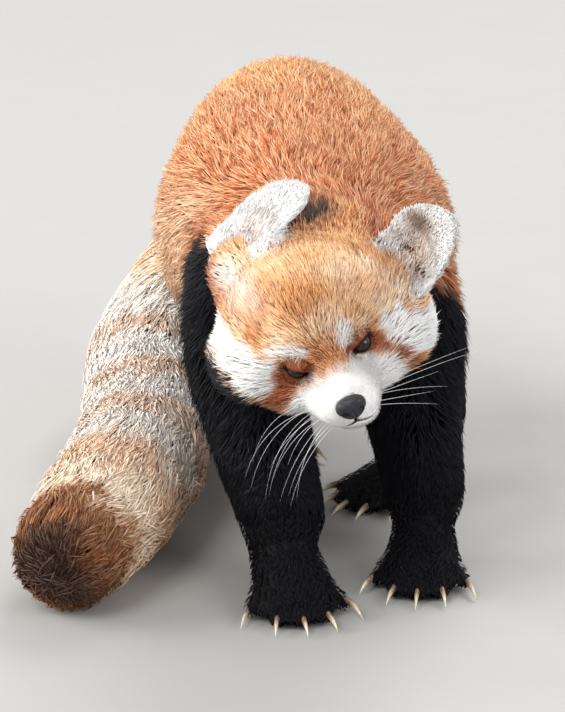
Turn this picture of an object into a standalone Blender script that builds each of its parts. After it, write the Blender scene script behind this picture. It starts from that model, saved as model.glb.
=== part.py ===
"""A life-size red panda, walking with its head low, as one set of closed solids.

The solids give the outline of the coat, out to its tips. The animal faces -Y, +Z is up and it stands
on z = 0. Its flesh is lofted from a few sections, blended into one body and parted with thin cuts.
Every length below is in centimetres until a vertex is made, when CM turns it into metres.
"""

import math
from collections import namedtuple

import bmesh
import bpy
from mathutils import Matrix, Vector
from mathutils.bvhtree import BVHTree

CM = 0.01

# How the body is meshed, and the gap that a cut leaves
BLEND_VOXEL = 0.34
SMOOTH_STEPS = 14
FINE_SMOOTHING = 0.32
BODY_TRIANGLES = 5560
CUT_GAP = 0.035
SEAT_GAP = 0.04
RING_SIDES = 20
CAP_RINGS = 3

# The head's place and turn. The face is rolled further than the ears, as in a shake of the head.
EYE_MIDDLE = Vector((1.6, -1.5, 18.2))
HEAD_YAW = math.radians(12.5)
HEAD_PITCH = math.radians(8.5)
FACE_ROLL = math.radians(21.5)
CROWN_ROLL = math.radians(4.0)

EYE_SPACING = 4.4
EYE_RADIUS = 0.62
EYE_DEPTH = 0.42
SOCKET_HALF = Vector((0.95, 0.55, 0.70))
NOSE_HALF = Vector((0.92, 0.60, 0.76))
NOSE_PLACE = Vector((0, -3.95, -1.75))

EAR_LENGTH = 6.5
EAR_ROOT = 0.22
EAR_TIP = 0.985
EAR_THICKNESS = 0.75

# Each ear: its root on the head, the way it points, the way its hollow faces, its cup and half width
EARS = (
    ("ear_left", (6.2, 4.0, 21.8), (0.49, -0.504, 0.705), (-0.75, -0.656, 0.084), 1.3, 2.75),
    ("ear_right", (-4.6, 4.4, 23.0), (0.765, -0.016, 0.644), (-0.58, -0.41, 0.68), 0.9, 2.45),
)

EAR_MOUNDS = (
    ((5.4, 3.6, 21.0), (2.3, 2.3, 2.6)),
    ((-3.8, 3.8, 21.8), (2.4, 2.4, 2.6)),
)

CLAW_LENGTH = 2.0
CLAW_HALF_WIDTH = 0.16
CLAW_HALF_HEIGHT = 0.25
TOE_FAN = math.radians(13)
TOE_HEIGHT = 0.78

Section = namedtuple("Section", "x y z half_width half_height")

TRUNK = (
    Section(1.6, 12.0, 17.4, 7.2, 8.3),
    Section(1.3, 15.5, 18.9, 9.4, 8.6),
    Section(0.1, 21.5, 18.9, 10.3, 9.1),
    Section(-0.6, 28.0, 19.2, 8.9, 9.4),
    Section(-1.1, 33.0, 19.0, 7.3, 8.6),
    Section(-1.2, 35.5, 18.4, 5.3, 6.4),
)
NECK = (
    Section(1.4, 3.5, 19.2, 5.4, 5.0),
    Section(1.5, 8.5, 19.4, 6.5, 6.4),
    Section(1.6, 13.0, 19.2, 7.6, 7.8),
)
TAIL = (
    Section(-1.4, 33.0, 18.2, 4.2, 4.6),
    Section(-4.3, 37.8, 14.0, 4.1, 4.3),
    Section(-8.2, 38.0, 8.6, 4.3, 4.3),
    Section(-10.7, 32.5, 5.3, 4.5, 4.5),
    Section(-10.5, 24.5, 4.25, 4.7, 4.5),
    Section(-11.0, 16.0, 4.25, 4.7, 4.5),
    Section(-12.7, 8.0, 4.15, 4.5, 4.4),
    Section(-15.1, 0.8, 3.6, 3.7, 3.8),
)

# Each leg runs from the body down to the wrist or heel, and its foot from there to the toes.
FORELEG_RIGHT = (
    Section(-2.8, 12.0, 19.5, 4.8, 5.2),
    Section(-3.6, 11.2, 14.6, 4.6, 4.6),
    Section(-3.1, 9.2, 10.6, 3.9, 3.8),
    Section(-2.0, 6.6, 7.2, 3.3, 3.2),
    Section(-1.2, 4.8, 4.4, 3.0, 2.9),
)
FORELEG_LEFT = (
    Section(5.8, 13.0, 19.5, 4.4, 5.0),
    Section(6.8, 12.8, 14.6, 4.4, 4.5),
    Section(7.2, 11.8, 10.6, 3.8, 3.7),
    Section(7.8, 9.8, 7.2, 3.05, 3.1),
    Section(8.1, 8.6, 4.4, 2.8, 2.8),
)
HINDLEG_LEFT = (
    Section(4.2, 29.5, 17.4, 4.9, 6.6),
    Section(6.4, 27.0, 12.6, 4.2, 5.2),
    Section(8.4, 24.4, 8.4, 3.1, 3.7),
    Section(9.2, 23.2, 4.2, 2.5, 2.8),
)
HINDLEG_RIGHT = (
    Section(-3.0, 30.0, 17.0, 4.9, 6.6),
    Section(-3.1, 29.4, 12.2, 3.9, 4.8),
    Section(-2.7, 31.0, 7.8, 2.7, 2.9),
    Section(-2.5, 32.0, 4.2, 2.35, 2.5),
)

# A foot: where its wrist or heel is, where its toes begin, and its greatest half width
Foot = namedtuple("Foot", "name heel toes half_width height toe_reach")
FEET = (
    Foot("forefoot_right", Vector((-1.2, 4.6, 0)), Vector((-0.3, -0.3, 0)), 2.75, 4.6, 2.5),
    Foot("forefoot_left", Vector((8.2, 8.8, 0)), Vector((7.7, 4.0, 0)), 2.6, 4.4, 2.4),
    Foot("hindfoot_left", Vector((9.5, 23.2, 0)), Vector((4.7, 18.6, 0)), 2.3, 4.0, 2.2),
    Foot("hindfoot_right", Vector((-2.6, 33.0, 0)), Vector((-1.7, 27.0, 0)), 2.3, 4.0, 2.2),
)
TOES = 5


def clear_scene():
    for obj in list(bpy.data.objects):
        bpy.data.objects.remove(obj)


def material(name, colour, roughness):
    """A plain finish for a solid."""
    made = bpy.data.materials.new(name)
    made.use_nodes = True
    shader = made.node_tree.nodes["Principled BSDF"]
    shader.inputs["Base Color"].default_value = (*colour, 1)
    shader.inputs["Roughness"].default_value = roughness
    shader.inputs["Metallic"].default_value = 0
    return made


def turn(yaw, pitch, roll):
    """The head's turn: nose towards the animal's left, nose down, and its left side up."""
    return Matrix.Rotation(yaw, 4, "Z") @ Matrix.Rotation(pitch, 4, "X") @ Matrix.Rotation(-roll, 4, "Y")


FACE = Matrix.Translation(EYE_MIDDLE) @ turn(HEAD_YAW, HEAD_PITCH, FACE_ROLL)
CROWN = Matrix.Translation(EYE_MIDDLE) @ turn(HEAD_YAW, HEAD_PITCH, CROWN_ROLL)


def spline(values, share):
    """A Catmull-Rom curve through the values, at a share from 0 to 1."""
    spans = len(values) - 1
    place = min(share * spans, spans - 1e-9)
    i = int(place)
    t = place - i
    before = values[i - 1] if i > 0 else 2 * values[0] - values[1]
    after = values[i + 2] if i + 2 <= spans else 2 * values[-1] - values[-2]
    return 0.5 * (
        2 * values[i]
        + (values[i + 1] - before) * t
        + (2 * before - 5 * values[i] + 4 * values[i + 1] - after) * t * t
        + (3 * values[i] - before - 3 * values[i + 1] + after) * t ** 3
    )


def ring_of(bm, centre, across, upright, half_width, half_height, sides):
    """One elliptical ring of vertices."""
    ring = []
    for k in range(sides):
        angle = math.tau * k / sides
        offset = across * half_width * math.cos(angle) + upright * half_height * math.sin(angle)
        ring.append(bm.verts.new((centre + offset) * CM))
    return ring


def loft(bm, sections, steps=4, sides=RING_SIDES, frame=None, hint=(0, 0, 1), caps=CAP_RINGS):
    """A closed tube through the sections, with rounded ends. Half heights lie along the hint."""
    frame = frame or Matrix.Identity(4)
    places = [Vector(s[:3]) for s in sections]
    widths = [s.half_width for s in sections]
    heights = [s.half_height for s in sections]
    count = (len(sections) - 1) * steps
    rings = []
    for n in range(count + 1):
        share = n / count
        nearby = [spline(places, min(1, max(0, share + d))) for d in (-0.01, 0.01)]
        along = (nearby[1] - nearby[0]).normalized()
        across = along.cross(Vector(hint))
        if across.length < 0.3:
            across = Vector((1, 0, 0)) - along * along.x
        across.normalize()
        upright = across.cross(along).normalized()
        sizes = (spline(widths, share), spline(heights, share))
        rings.append((spline(places, share), along, across, upright, *sizes))
    stack = []
    first, last = rings[0], rings[-1]
    for n in range(caps, 0, -1):
        stack.append(cap_ring(first, -1, n, caps))
    stack += rings
    for n in range(1, caps + 1):
        stack.append(cap_ring(last, 1, n, caps))
    loops = []
    for centre, along, across, upright, width, height in stack:
        turned = [frame @ centre, *(frame.to_3x3() @ v for v in (across, upright))]
        loops.append(ring_of(bm, *turned, width, height, sides))
    for a, b in zip(loops, loops[1:]):
        for k in range(sides):
            bm.faces.new((a[k], b[k], b[(k + 1) % sides], a[(k + 1) % sides]))
    bm.faces.new(loops[0])
    bm.faces.new(loops[-1][::-1])


def cap_ring(ring, side, n, caps):
    """The nth ring of a rounded end, past the loft's first or last ring."""
    centre, along, across, upright, width, height = ring
    angle = n * math.pi / 2 / (caps + 0.35)
    out = along * side * min(width, height) * 0.85 * math.sin(angle)
    shrink = math.cos(angle)
    return centre + out, along, across, upright, width * shrink, height * shrink


def ellipsoid(bm, centre, half_axes, frame=None, detail=3):
    """An ellipsoid whose axes lie along the frame's."""
    frame = frame or Matrix.Identity(4)
    place = frame @ Matrix.Translation(Vector(centre)) @ Matrix.Diagonal((*half_axes, 1))
    place = Matrix.Diagonal((CM, CM, CM, 1)) @ place
    bmesh.ops.create_icosphere(bm, subdivisions=detail, radius=1, matrix=place)


def add_head(bm):
    """Cranium, brows, cheek ruffs, muzzle and jaw, as the coat's outline."""
    ellipsoid(bm, (0, 4.3, 0.6), (6.2, 5.3, 5.4), CROWN)
    for centre, half in EAR_MOUNDS:
        ellipsoid(bm, centre, half)
    ellipsoid(bm, (0, 2.6, 0.6), (5.2, 3.6, 4.3), FACE)
    ellipsoid(bm, (-4.5, 3.3, -0.1), (3.0, 3.4, 3.0), FACE)
    ellipsoid(bm, (4.7, 2.8, -1.4), (3.0, 3.3, 3.4), FACE)
    ellipsoid(bm, (-2.9, 1.3, -1.8), (2.1, 2.5, 1.8), FACE)
    ellipsoid(bm, (3.1, 1.3, -2.3), (2.2, 2.5, 2.05), FACE)
    for side in (-1, 1):
        ellipsoid(bm, (side * 2.3, 0.9, 1.5), (1.5, 1.3, 1.2), FACE)
    muzzle = (
        Section(0, 1.6, -1.5, 3.2, 2.6),
        Section(0, -0.9, -2.05, 2.75, 2.05),
        Section(0, -2.6, -2.15, 2.15, 1.65),
    )
    loft(bm, muzzle, frame=FACE)
    ellipsoid(bm, (0.6, 3.8, -2.5), (4.2, 3.8, 2.7), FACE)
    ellipsoid(bm, (0.3, -1.1, -3.35), (1.95, 2.5, 1.2), FACE)


def add_foot(bm, foot):
    """A flat-soled, furry foot: one low loft and five toes fanned out from it."""
    low = foot.height
    instep = foot.heel.lerp(foot.toes, 0.55)
    sections = (
        Section(*(foot.heel + Vector((0, 0, low * 0.45))), foot.half_width * 0.84, low * 0.50),
        Section(*(instep + Vector((0, 0, low * 0.37))), foot.half_width * 0.97, low * 0.43),
        Section(*(foot.toes + Vector((0, 0, low * 0.24))), foot.half_width * 0.95, low * 0.30),
    )
    loft(bm, sections)
    for start, along, size in toe_places(foot):
        toe = (
            Section(*(start + Vector((0, 0, 0.35))), size * 0.92, size * 0.95),
            Section(*(start + along * foot.toe_reach * 0.5), size, size),
            Section(*(start + along * foot.toe_reach + Vector((0, 0, -0.25))), size * 0.85, size * 0.8),
        )
        loft(bm, toe, steps=2, sides=12)


def toe_places(foot):
    """Where each toe starts, its direction and its radius."""
    along = (foot.toes - foot.heel).normalized()
    across = Vector((along.y, -along.x, 0))
    for n in range(TOES):
        offset = n - (TOES - 1) / 2
        fan = Matrix.Rotation(-offset * TOE_FAN, 3, "Z")
        direction = fan @ along
        curve_back = 0.42 * offset * offset
        start = foot.toes + across * offset * foot.half_width * 0.41 - along * curve_back
        size = 0.82 if abs(offset) < 1.5 else 0.74
        yield start + Vector((0, 0, TOE_HEIGHT)), direction, size


def new_object(name, bm, finish, merge=False):
    """A named mesh object from a bmesh, which it frees."""
    if merge:
        bmesh.ops.remove_doubles(bm, verts=bm.verts, dist=1e-6)
    bmesh.ops.recalc_face_normals(bm, faces=bm.faces)
    mesh = bpy.data.meshes.new(name)
    bm.to_mesh(mesh)
    bm.free()
    obj = bpy.data.objects.new(name, mesh)
    bpy.context.scene.collection.objects.link(obj)
    if finish:
        mesh.materials.append(finish)
    return obj


def bake_modifiers(obj):
    """Replaces the object's mesh by the one that its modifiers make."""
    graph = bpy.context.evaluated_depsgraph_get()
    mesh = bpy.data.meshes.new_from_object(obj.evaluated_get(graph))
    obj.modifiers.clear()
    obj.data = mesh


def fine_regions():
    """Centre, radius and share of triangles kept, for the face, the crown and the feet."""
    places = [
        (FACE @ Vector((0, -1.0, -1.0)), 6.5, 0.25),
        (CROWN @ Vector((0, 4.0, 0.5)), 8.5, 0.08),
    ]
    for foot in FEET:
        places.append((foot.toes + Vector((0, 0, 1.2)), 4.2, 0.14))
    return places


def blended_body():
    """The whole animal but for ears, eyes, nose and claws, as one smooth closed mesh."""
    bm = bmesh.new()
    for sections in (TRUNK, NECK, TAIL):
        loft(bm, sections)
    for sections in (FORELEG_RIGHT, FORELEG_LEFT, HINDLEG_LEFT, HINDLEG_RIGHT):
        loft(bm, sections, hint=(0, 1, 0))
    for foot in FEET:
        add_foot(bm, foot)
    add_head(bm)
    body = new_object("body", bm, None)
    remesh = body.modifiers.new("Blend", "REMESH")
    remesh.mode = "VOXEL"
    remesh.voxel_size = BLEND_VOXEL * CM
    bake_modifiers(body)
    soft = body.vertex_groups.new(name="soft")
    kept = body.vertex_groups.new(name="kept")
    regions = fine_regions()
    for vertex in body.data.vertices:
        place = vertex.co / CM
        detail = [(min(1, max(0, 3 - 3 * (place - centre).length / radius)), keep)
                  for centre, radius, keep in regions]
        soft.add([vertex.index], 1 + (FINE_SMOOTHING - 1) * max(d for d, keep in detail), "REPLACE")
        kept.add([vertex.index], 1 - max(d * keep for d, keep in detail), "REPLACE")
    smooth = body.modifiers.new("Smooth", "SMOOTH")
    smooth.factor = 0.5
    smooth.iterations = SMOOTH_STEPS
    smooth.vertex_group = "soft"
    bake_modifiers(body)
    decimate = body.modifiers.new("Thin", "DECIMATE")
    decimate.ratio = BODY_TRIANGLES / (2 * len(body.data.polygons))
    decimate.vertex_group = "kept"
    decimate.vertex_group_factor = 1.0
    bake_modifiers(body)
    body.vertex_groups.clear()
    return body


def boolean(target, cutter, operation="DIFFERENCE"):
    modifier = target.modifiers.new("Cut", "BOOLEAN")
    modifier.operation = operation
    modifier.solver = "EXACT"
    modifier.object = cutter
    bake_modifiers(target)


def inflated(source, name, out):
    """A copy of a mesh grown by a small gap, to seat another piece against it."""
    bm = bmesh.new()
    bm.from_mesh(source.data)
    bm.normal_update()
    for vertex in bm.verts:
        vertex.co += vertex.normal * out * CM
    return new_object(name, bm, None)


def disc(bm, centre, normal, radius):
    """A thin round slab that parts the body where it passes through."""
    facing = Vector((0, 0, 1)).rotation_difference(Vector(normal).normalized()).to_matrix().to_4x4()
    place = Matrix.Diagonal((CM, CM, CM, 1)) @ Matrix.Translation(Vector(centre)) @ facing
    bmesh.ops.create_cone(
        bm, cap_ends=True, segments=32, radius1=radius, radius2=radius, depth=CUT_GAP, matrix=place
    )


# Each cut: its centre, its normal and its radius
CUTS = (
    ((1.5, 6.0, 19.5), (0, 1, -0.45), 10.0),
    ((1.6, 9.3, 19.1), (0, 1, -0.75), 11.2),
    ((-2.7, 8.2, 8.4), (0.10, -0.30, -1), 4.9),
    ((7.7, 11.1, 8.6), (0, -0.20, -1), 4.9),
    ((-1.5, 5.6, 5.6), (0.15, -0.35, -1), 4.5),
    ((8.1, 9.2, 5.6), (0, -0.30, -1), 4.2),
    ((8.1, 24.8, 9.0), (0.25, -0.42, -1), 4.7),
    ((-2.7, 30.7, 8.3), (0, 0.10, -1), 4.3),
    ((9.1, 23.5, 5.2), (0.15, -0.15, -1), 3.8),
    ((-2.5, 31.5, 5.3), (0, 0.04, -1), 3.5),
    ((-6.6, 38.5, 11.2), (-0.60, 0.05, -0.80), 5.0),
    ((-10.6, 28.5, 4.8), (0, 1, 0), 5.5),
    ((-11.5, 13.5, 4.5), (0.1, 1, 0), 6.0),
)

# A point inside each part, by which the cut pieces get their names
SEEDS = {
    "head": (1.5, 2.0, 18.5),
    "neck": (1.5, 8.8, 18.2),
    "trunk": (0.5, 24.0, 19.5),
    "foreleg_right": (-2.2, 7.2, 7.4),
    "forefoot_right": (-0.8, 2.0, 2.3),
    "foreleg_left": (8.0, 10.4, 7.5),
    "forefoot_left": (8.0, 6.0, 2.3),
    "hindleg_left": (8.6, 24.4, 7.3),
    "hindfoot_left": (7.5, 21.0, 2.0),
    "hindleg_right": (-2.7, 31.4, 6.8),
    "hindfoot_right": (-2.2, 30.0, 2.2),
    "tail_base": (-9.0, 34.5, 7.5),
    "tail_middle": (-10.8, 21.0, 4.5),
    "tail_tip": (-13.5, 6.0, 4.3),
}


def part_body(body, finishes):
    """Cuts the body at CUTS, and gives each piece its own named object."""
    bm = bmesh.new()
    for centre, normal, radius in CUTS:
        disc(bm, centre, normal, radius)
    cut_away(body, bm)
    whole = bmesh.new()
    whole.from_mesh(body.data)
    islands = loose_parts(whole)
    if len(islands) != len(SEEDS):
        raise ValueError(f"the cuts made {len(islands)} pieces, and {len(SEEDS)} are named")
    for faces in islands:
        piece = bmesh.new()
        made = {}
        for face in faces:
            corners = []
            for vertex in face.verts:
                if vertex not in made:
                    made[vertex] = piece.verts.new(vertex.co)
                corners.append(made[vertex])
            piece.faces.new(corners)
        middle = sum((v.co for v in piece.verts), Vector()) / len(piece.verts) / CM
        name = min(SEEDS, key=lambda n: (Vector(SEEDS[n]) - middle).length)
        new_object(name, piece, finishes(name))
    whole.free()
    bpy.data.objects.remove(body)


def loose_parts(bm):
    """The faces of each separate shell."""
    waiting = set(bm.faces)
    islands = []
    while waiting:
        edge_on = [waiting.pop()]
        island = list(edge_on)
        while edge_on:
            face = edge_on.pop()
            for edge in face.edges:
                for other in edge.link_faces:
                    if other in waiting:
                        waiting.remove(other)
                        edge_on.append(other)
                        island.append(other)
        islands.append(island)
    return islands


def flatten_soles(body):
    """Takes off all that reaches below the floor, which leaves small flats to stand on."""
    bm = bmesh.new()
    under = Matrix.Translation(Vector((0, 20, -10)) * CM)
    under = under @ Matrix.Diagonal((120 * CM, 120 * CM, 20 * CM, 1))
    bmesh.ops.create_cube(bm, size=1, matrix=under)
    cut_away(body, bm)


def ear_half_width(share):
    """Half the ear's width, as a share of its greatest, from root to tip."""
    return math.sqrt(max(0.0, 1 - share ** 2.6)) * (0.80 + 0.75 * share - 0.55 * share * share)


def make_ear(name, root, axis, facing, cup, half_width, finish, head_skin):
    """A cupped leaf of skin and coat, seated on the head."""
    axis = Vector(axis).normalized()
    facing = Vector(facing)
    facing = (facing - axis * facing.dot(axis)).normalized()
    across = axis.cross(facing)
    rows, columns = 8, 8
    bm = bmesh.new()
    shells = []
    for side in (1, -1):
        shell = []
        for i in range(rows + 1):
            share = -EAR_ROOT + (EAR_TIP + EAR_ROOT) * i / rows
            width = half_width * ear_half_width(max(0, share))
            row = []
            for j in range(columns + 1):
                v = 2 * j / columns - 1
                edge = math.sqrt(max(0, 1 - v ** 4)) * math.sqrt(max(0, min(1, (1.04 - share) * 5)))
                thick = 0.5 * EAR_THICKNESS * (0.25 + 0.75 * edge)
                bow = cup * (v * v - 0.35) * width / half_width
                place = Vector(root) + axis * EAR_LENGTH * share + across * width * v
                place += facing * (bow + side * thick)
                row.append(bm.verts.new(place * CM))
            shell.append(row)
        shells.append(shell)
    front, back = shells
    for i in range(rows):
        for j in range(columns):
            bm.faces.new((front[i][j], front[i][j + 1], front[i + 1][j + 1], front[i + 1][j]))
            bm.faces.new((back[i][j], back[i + 1][j], back[i + 1][j + 1], back[i][j + 1]))
    for i in range(rows):
        bm.faces.new((front[i][0], front[i + 1][0], back[i + 1][0], back[i][0]))
        bm.faces.new((front[i][-1], back[i][-1], back[i + 1][-1], front[i + 1][-1]))
    for j in range(columns):
        bm.faces.new((front[0][j], back[0][j], back[0][j + 1], front[0][j + 1]))
        bm.faces.new((front[-1][j], front[-1][j + 1], back[-1][j + 1], back[-1][j]))
    bmesh.ops.triangulate(bm, faces=bm.faces)
    ear = new_object(name, bm, finish, merge=True)
    boolean(ear, head_skin)
    keep_largest_part(ear)
    return ear


def keep_largest_part(obj):
    """Drops the scraps that a cut leaves inside the body."""
    bm = bmesh.new()
    bm.from_mesh(obj.data)
    islands = loose_parts(bm)
    islands.sort(key=lambda faces: sum(f.calc_area() for f in faces))
    scraps = [f for faces in islands[:-1] for f in faces]
    bmesh.ops.delete(bm, geom=scraps, context="FACES")
    bm.to_mesh(obj.data)
    bm.free()


def make_claws(body_skin, finish):
    """Five curved claws on each foot, their roots in the toes."""
    for foot in FEET:
        limb = foot.name.replace("foot", "claw")
        for number, (start, along, size) in enumerate(toe_places(foot), 1):
            root = start + along * (foot.toe_reach + size * 0.25) + Vector((0, 0, -0.05))
            sections = []
            for n in range(4):
                share = n / 3
                reach = along * CLAW_LENGTH * (share * 0.96 - 0.35)
                drop = Vector((0, 0, -0.16 - 0.42 * share * share))
                slim = 1 - 0.80 * share ** 1.3
                place = root + reach + drop
                sections.append(Section(*place, CLAW_HALF_WIDTH * slim, CLAW_HALF_HEIGHT * slim))
            bm = bmesh.new()
            loft(bm, sections, steps=1, sides=5, caps=1)
            bmesh.ops.triangulate(bm, faces=bm.faces)
            claw = new_object(f"{limb}_{number}", bm, finish)
            boolean(claw, body_skin)
            keep_largest_part(claw)


def face_surface(head, side):
    """How far the face's surface lies in front of the eyes' plane, at the middle of an eye."""
    bm = bmesh.new()
    bm.from_mesh(head.data)
    tree = BVHTree.FromBMesh(bm)
    bm.free()
    start = FACE @ Vector((side * EYE_SPACING / 2, -12, 0))
    hit = tree.ray_cast(start * CM, FACE.to_3x3() @ Vector((0, 1, 0)))[0]
    return (FACE.inverted() @ (hit / CM)).y


def make_eyes_and_nose(head, finishes):
    """Eyeballs in their sockets and the nose pad, each in a seat cut from the head."""
    pieces = [("nose", NOSE_PLACE, NOSE_HALF)]
    for name, side in (("eye_left", 1), ("eye_right", -1)):
        depth = face_surface(head, side) + EYE_DEPTH
        place = Vector((side * EYE_SPACING / 2, depth, 0))
        pieces.append((name, place, Vector((EYE_RADIUS,) * 3)))
        bm = bmesh.new()
        ellipsoid(bm, place + Vector((0, -EYE_DEPTH, 0)), SOCKET_HALF, FACE, detail=2)
        cut_away(head, bm)
    for name, place, half in pieces:
        bm = bmesh.new()
        ellipsoid(bm, place, [h + SEAT_GAP for h in half], FACE, detail=2)
        cut_away(head, bm)
        bm = bmesh.new()
        ellipsoid(bm, place, half, FACE, detail=2)
        new_object(name, bm, finishes(name))


def cut_away(target, bm):
    """Takes the shape in the bmesh out of the target."""
    cutter = new_object("cutter", bm, None)
    boolean(target, cutter)
    bpy.data.objects.remove(cutter)


def stand_at_origin():
    """Moves every solid so that the middle of the whole animal's footprint box is the origin."""
    solids = [o for o in bpy.data.objects if o.type == "MESH"]
    corners = [v.co for o in solids for v in o.data.vertices]
    low = Vector(min(c[i] for c in corners) for i in range(3))
    high = Vector(max(c[i] for c in corners) for i in range(3))
    shift = Matrix.Translation(Vector((-(low.x + high.x) / 2, -(low.y + high.y) / 2, -low.z)))
    for obj in solids:
        obj.data.transform(shift)
        obj.data.update()


def main():
    clear_scene()
    rust = material("rust_coat", (0.55, 0.22, 0.08), 0.9)
    black = material("black_coat", (0.02, 0.02, 0.025), 0.9)
    ringed = material("ringed_coat", (0.60, 0.36, 0.18), 0.9)
    white = material("white_coat", (0.85, 0.82, 0.76), 0.9)
    wet = material("eye", (0.03, 0.015, 0.01), 0.1)
    pad = material("nose_leather", (0.02, 0.02, 0.022), 0.4)
    horn = material("claw_horn", (0.75, 0.70, 0.55), 0.4)

    def finishes(name):
        if name.startswith("eye"):
            return wet
        if name == "nose":
            return pad
        if name.startswith("tail"):
            return ringed
        if "leg" in name or "foot" in name:
            return black
        return rust

    body = blended_body()
    flatten_soles(body)
    grown = inflated(body, "grown", SEAT_GAP)
    for ear in EARS:
        make_ear(*ear, white, grown)
    make_claws(grown, horn)
    bpy.data.objects.remove(grown)
    part_body(body, finishes)
    make_eyes_and_nose(bpy.data.objects["head"], finishes)
    stand_at_origin()


if __name__ == "__main__":
    main()
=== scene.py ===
"""A life-size museum model of a walking red panda: skin, coat, face, claws and floor.

Lengths in the tables are centimetres, in the animal's own numbers: +X is its left, it faces -Y and
+Z is up. ORIGIN moves them into the frame. On the face, x is the animal's left, y goes back into
the head and z is up, from the middle between the eyes.
"""

import math
from collections import namedtuple

import bmesh
import bpy
import numpy as np
from mathutils import Matrix, Vector
from mathutils.bvhtree import BVHTree
from mathutils.kdtree import KDTree


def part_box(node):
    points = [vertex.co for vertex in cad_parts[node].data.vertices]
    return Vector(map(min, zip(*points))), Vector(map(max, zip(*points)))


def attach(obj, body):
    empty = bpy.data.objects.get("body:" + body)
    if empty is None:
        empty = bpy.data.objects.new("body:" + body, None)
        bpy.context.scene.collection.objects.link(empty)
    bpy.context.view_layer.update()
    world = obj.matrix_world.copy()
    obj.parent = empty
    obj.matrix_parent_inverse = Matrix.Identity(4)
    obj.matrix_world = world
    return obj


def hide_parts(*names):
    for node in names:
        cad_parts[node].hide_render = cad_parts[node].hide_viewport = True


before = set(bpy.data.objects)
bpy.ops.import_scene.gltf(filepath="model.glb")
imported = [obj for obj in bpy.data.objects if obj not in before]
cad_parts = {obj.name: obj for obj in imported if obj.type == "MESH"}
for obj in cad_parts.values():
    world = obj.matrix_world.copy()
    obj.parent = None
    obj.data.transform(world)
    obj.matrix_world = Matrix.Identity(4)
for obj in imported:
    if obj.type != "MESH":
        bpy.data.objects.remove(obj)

bl_info = {
    "name": "Walking Red Panda",
    "version": (1, 0, 0),
    "blender": (4, 5, 0),
    "location": "3D View > Sidebar > Red Panda",
    "description": "Builds the skin, coat, face, claws and floor of a life-size red panda",
    "category": "Add Mesh",
}

CM = 0.01
SEED = 7
ORIGIN = np.array((3.5653, -18.5370, 0.0))

EYE_MIDDLE = Vector((1.6, -1.5, 18.2))
HEAD_YAW = math.radians(12.5)
HEAD_PITCH = math.radians(8.5)
FACE_ROLL = math.radians(21.5)
NOSE_PLACE = np.array((0.0, -3.95, -1.75))
NOSE_HALF = np.array((0.92, 0.60, 0.76))

# The skin's mesh: the size of its faces, how far the solids are swollen to run into each other, how near
# each other two corners of a solid are one, in metres, and the steps in which it is taken in
SKIN_VOXEL = 0.29
OVERLAP = 0.05
SAME_CORNER = 2e-5
SHRINK_STEPS = 10
# The middle of the muzzle and the reaches from it within which the faces are split, once for each
FINER_MIDDLE = (0, -2.6, -1.9)
FINER_REACHES = (3.4, 2.6)
# How far the skin lies under the tips of the coat in each region but the head
DEPTHS = {"neck": 1.05, "trunk": 1.35, "forelegs": 0.75, "hindlegs": 0.85, "feet": 0.34, "tail": 1.25,
          "ear_left": 0.2, "ear_right": 0.2}
REGIONS = ("head", "ear_left", "ear_right", "neck", "trunk", "forelegs", "hindlegs", "feet", "tail")

# The middle of the tail from the rump to its tip, and each foot's line from its heel to its toes
TAIL_LINE = ((-1.4, 33.0, 18.2), (-4.3, 37.8, 14.0), (-8.2, 38.0, 8.6), (-10.7, 32.5, 5.3),
             (-10.5, 24.5, 4.25), (-11.0, 16.0, 4.25), (-12.7, 8.0, 4.15), (-15.1, 0.8, 3.6),
             (-16.4, -3.2, 3.0))
FOOT_LINES = ((-1.2, 4.6, -0.3, -0.3), (8.2, 8.8, 7.7, 4.0), (9.5, 23.2, 4.7, 18.6),
              (-2.6, 33.0, -1.7, 27.0))
TAIL_RING = 7.6
TAIL_TIP_DARK = 5.5

# Each ear: its root, the way it points, the way its hollow faces, its length and half width
EARS = {
    "ear_left": ((6.2, 4.0, 21.8), (0.49, -0.504, 0.705), (-0.75, -0.656, 0.084), 6.5, 2.75),
    "ear_right": ((-4.6, 4.4, 23.0), (0.765, -0.016, 0.644), (-0.58, -0.41, 0.68), 6.5, 2.45),
}

# The height below which the sides of the body are black, at places from the chest to the rump, and how
# much lower it is on the left side
BLACK_BORDER = ((6, 22.6), (11, 22.2), (12.5, 20.6), (14, 18.0), (16, 14.8), (18, 12.8), (22, 11.6),
                (27, 12.6), (32, 12.4), (36, 9.5), (40, 8.0))
BORDER_DROP = 3.4

# How dark the shaded patch near each ear's tip is, and how beige its hollow is
EAR_SHADOW = {"ear_left": 0.6, "ear_right": 0.0}
EAR_BEIGE = {"ear_left": 0.4, "ear_right": 0.25}

# The painted shadow behind the right ear, put in as black: its middle and its reach each way
PAINTED_SHADOW_BEHIND_EAR = (0.1, 6.8, 24.8)
PAINTED_SHADOW_BEHIND_EAR_SIZE = (2.0, 1.5, 2.0)

# Outlines of the markings on the face, seen from in front
CHEEK_RIGHT = ((-5.4, 3.2), (-4.8, 2.5), (-4.2, 1.6), (-3.55, 0.85), (-3.65, 0.1), (-3.9, -0.5),
               (-4.4, -0.95), (-5.0, -1.5), (-5.9, -1.2), (-6.6, -0.3), (-7.6, 0.8), (-7.6, 2.4),
               (-6.6, 3.4))
CHEEK_LEFT = ((3.85, 0.6), (4.5, 1.05), (5.5, 0.55), (6.5, -0.2), (7.6, -1.0), (7.6, -3.2), (6.4, -3.6),
              (5.5, -2.9), (4.9, -1.7), (4.4, -1.1), (3.9, -0.4))
MUZZLE = ((-3.7, -1.8), (-3.0, -1.15), (-1.9, -0.65), (-0.6, -0.35), (0.5, -0.15), (1.5, -0.25),
          (2.8, -0.95), (4.0, -1.25), (4.4, -2.1), (4.4, -3.3), (3.2, -4.3), (1.5, -4.9), (0.0, -5.0),
          (-1.8, -4.5), (-3.0, -3.4), (-3.8, -2.6))
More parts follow.
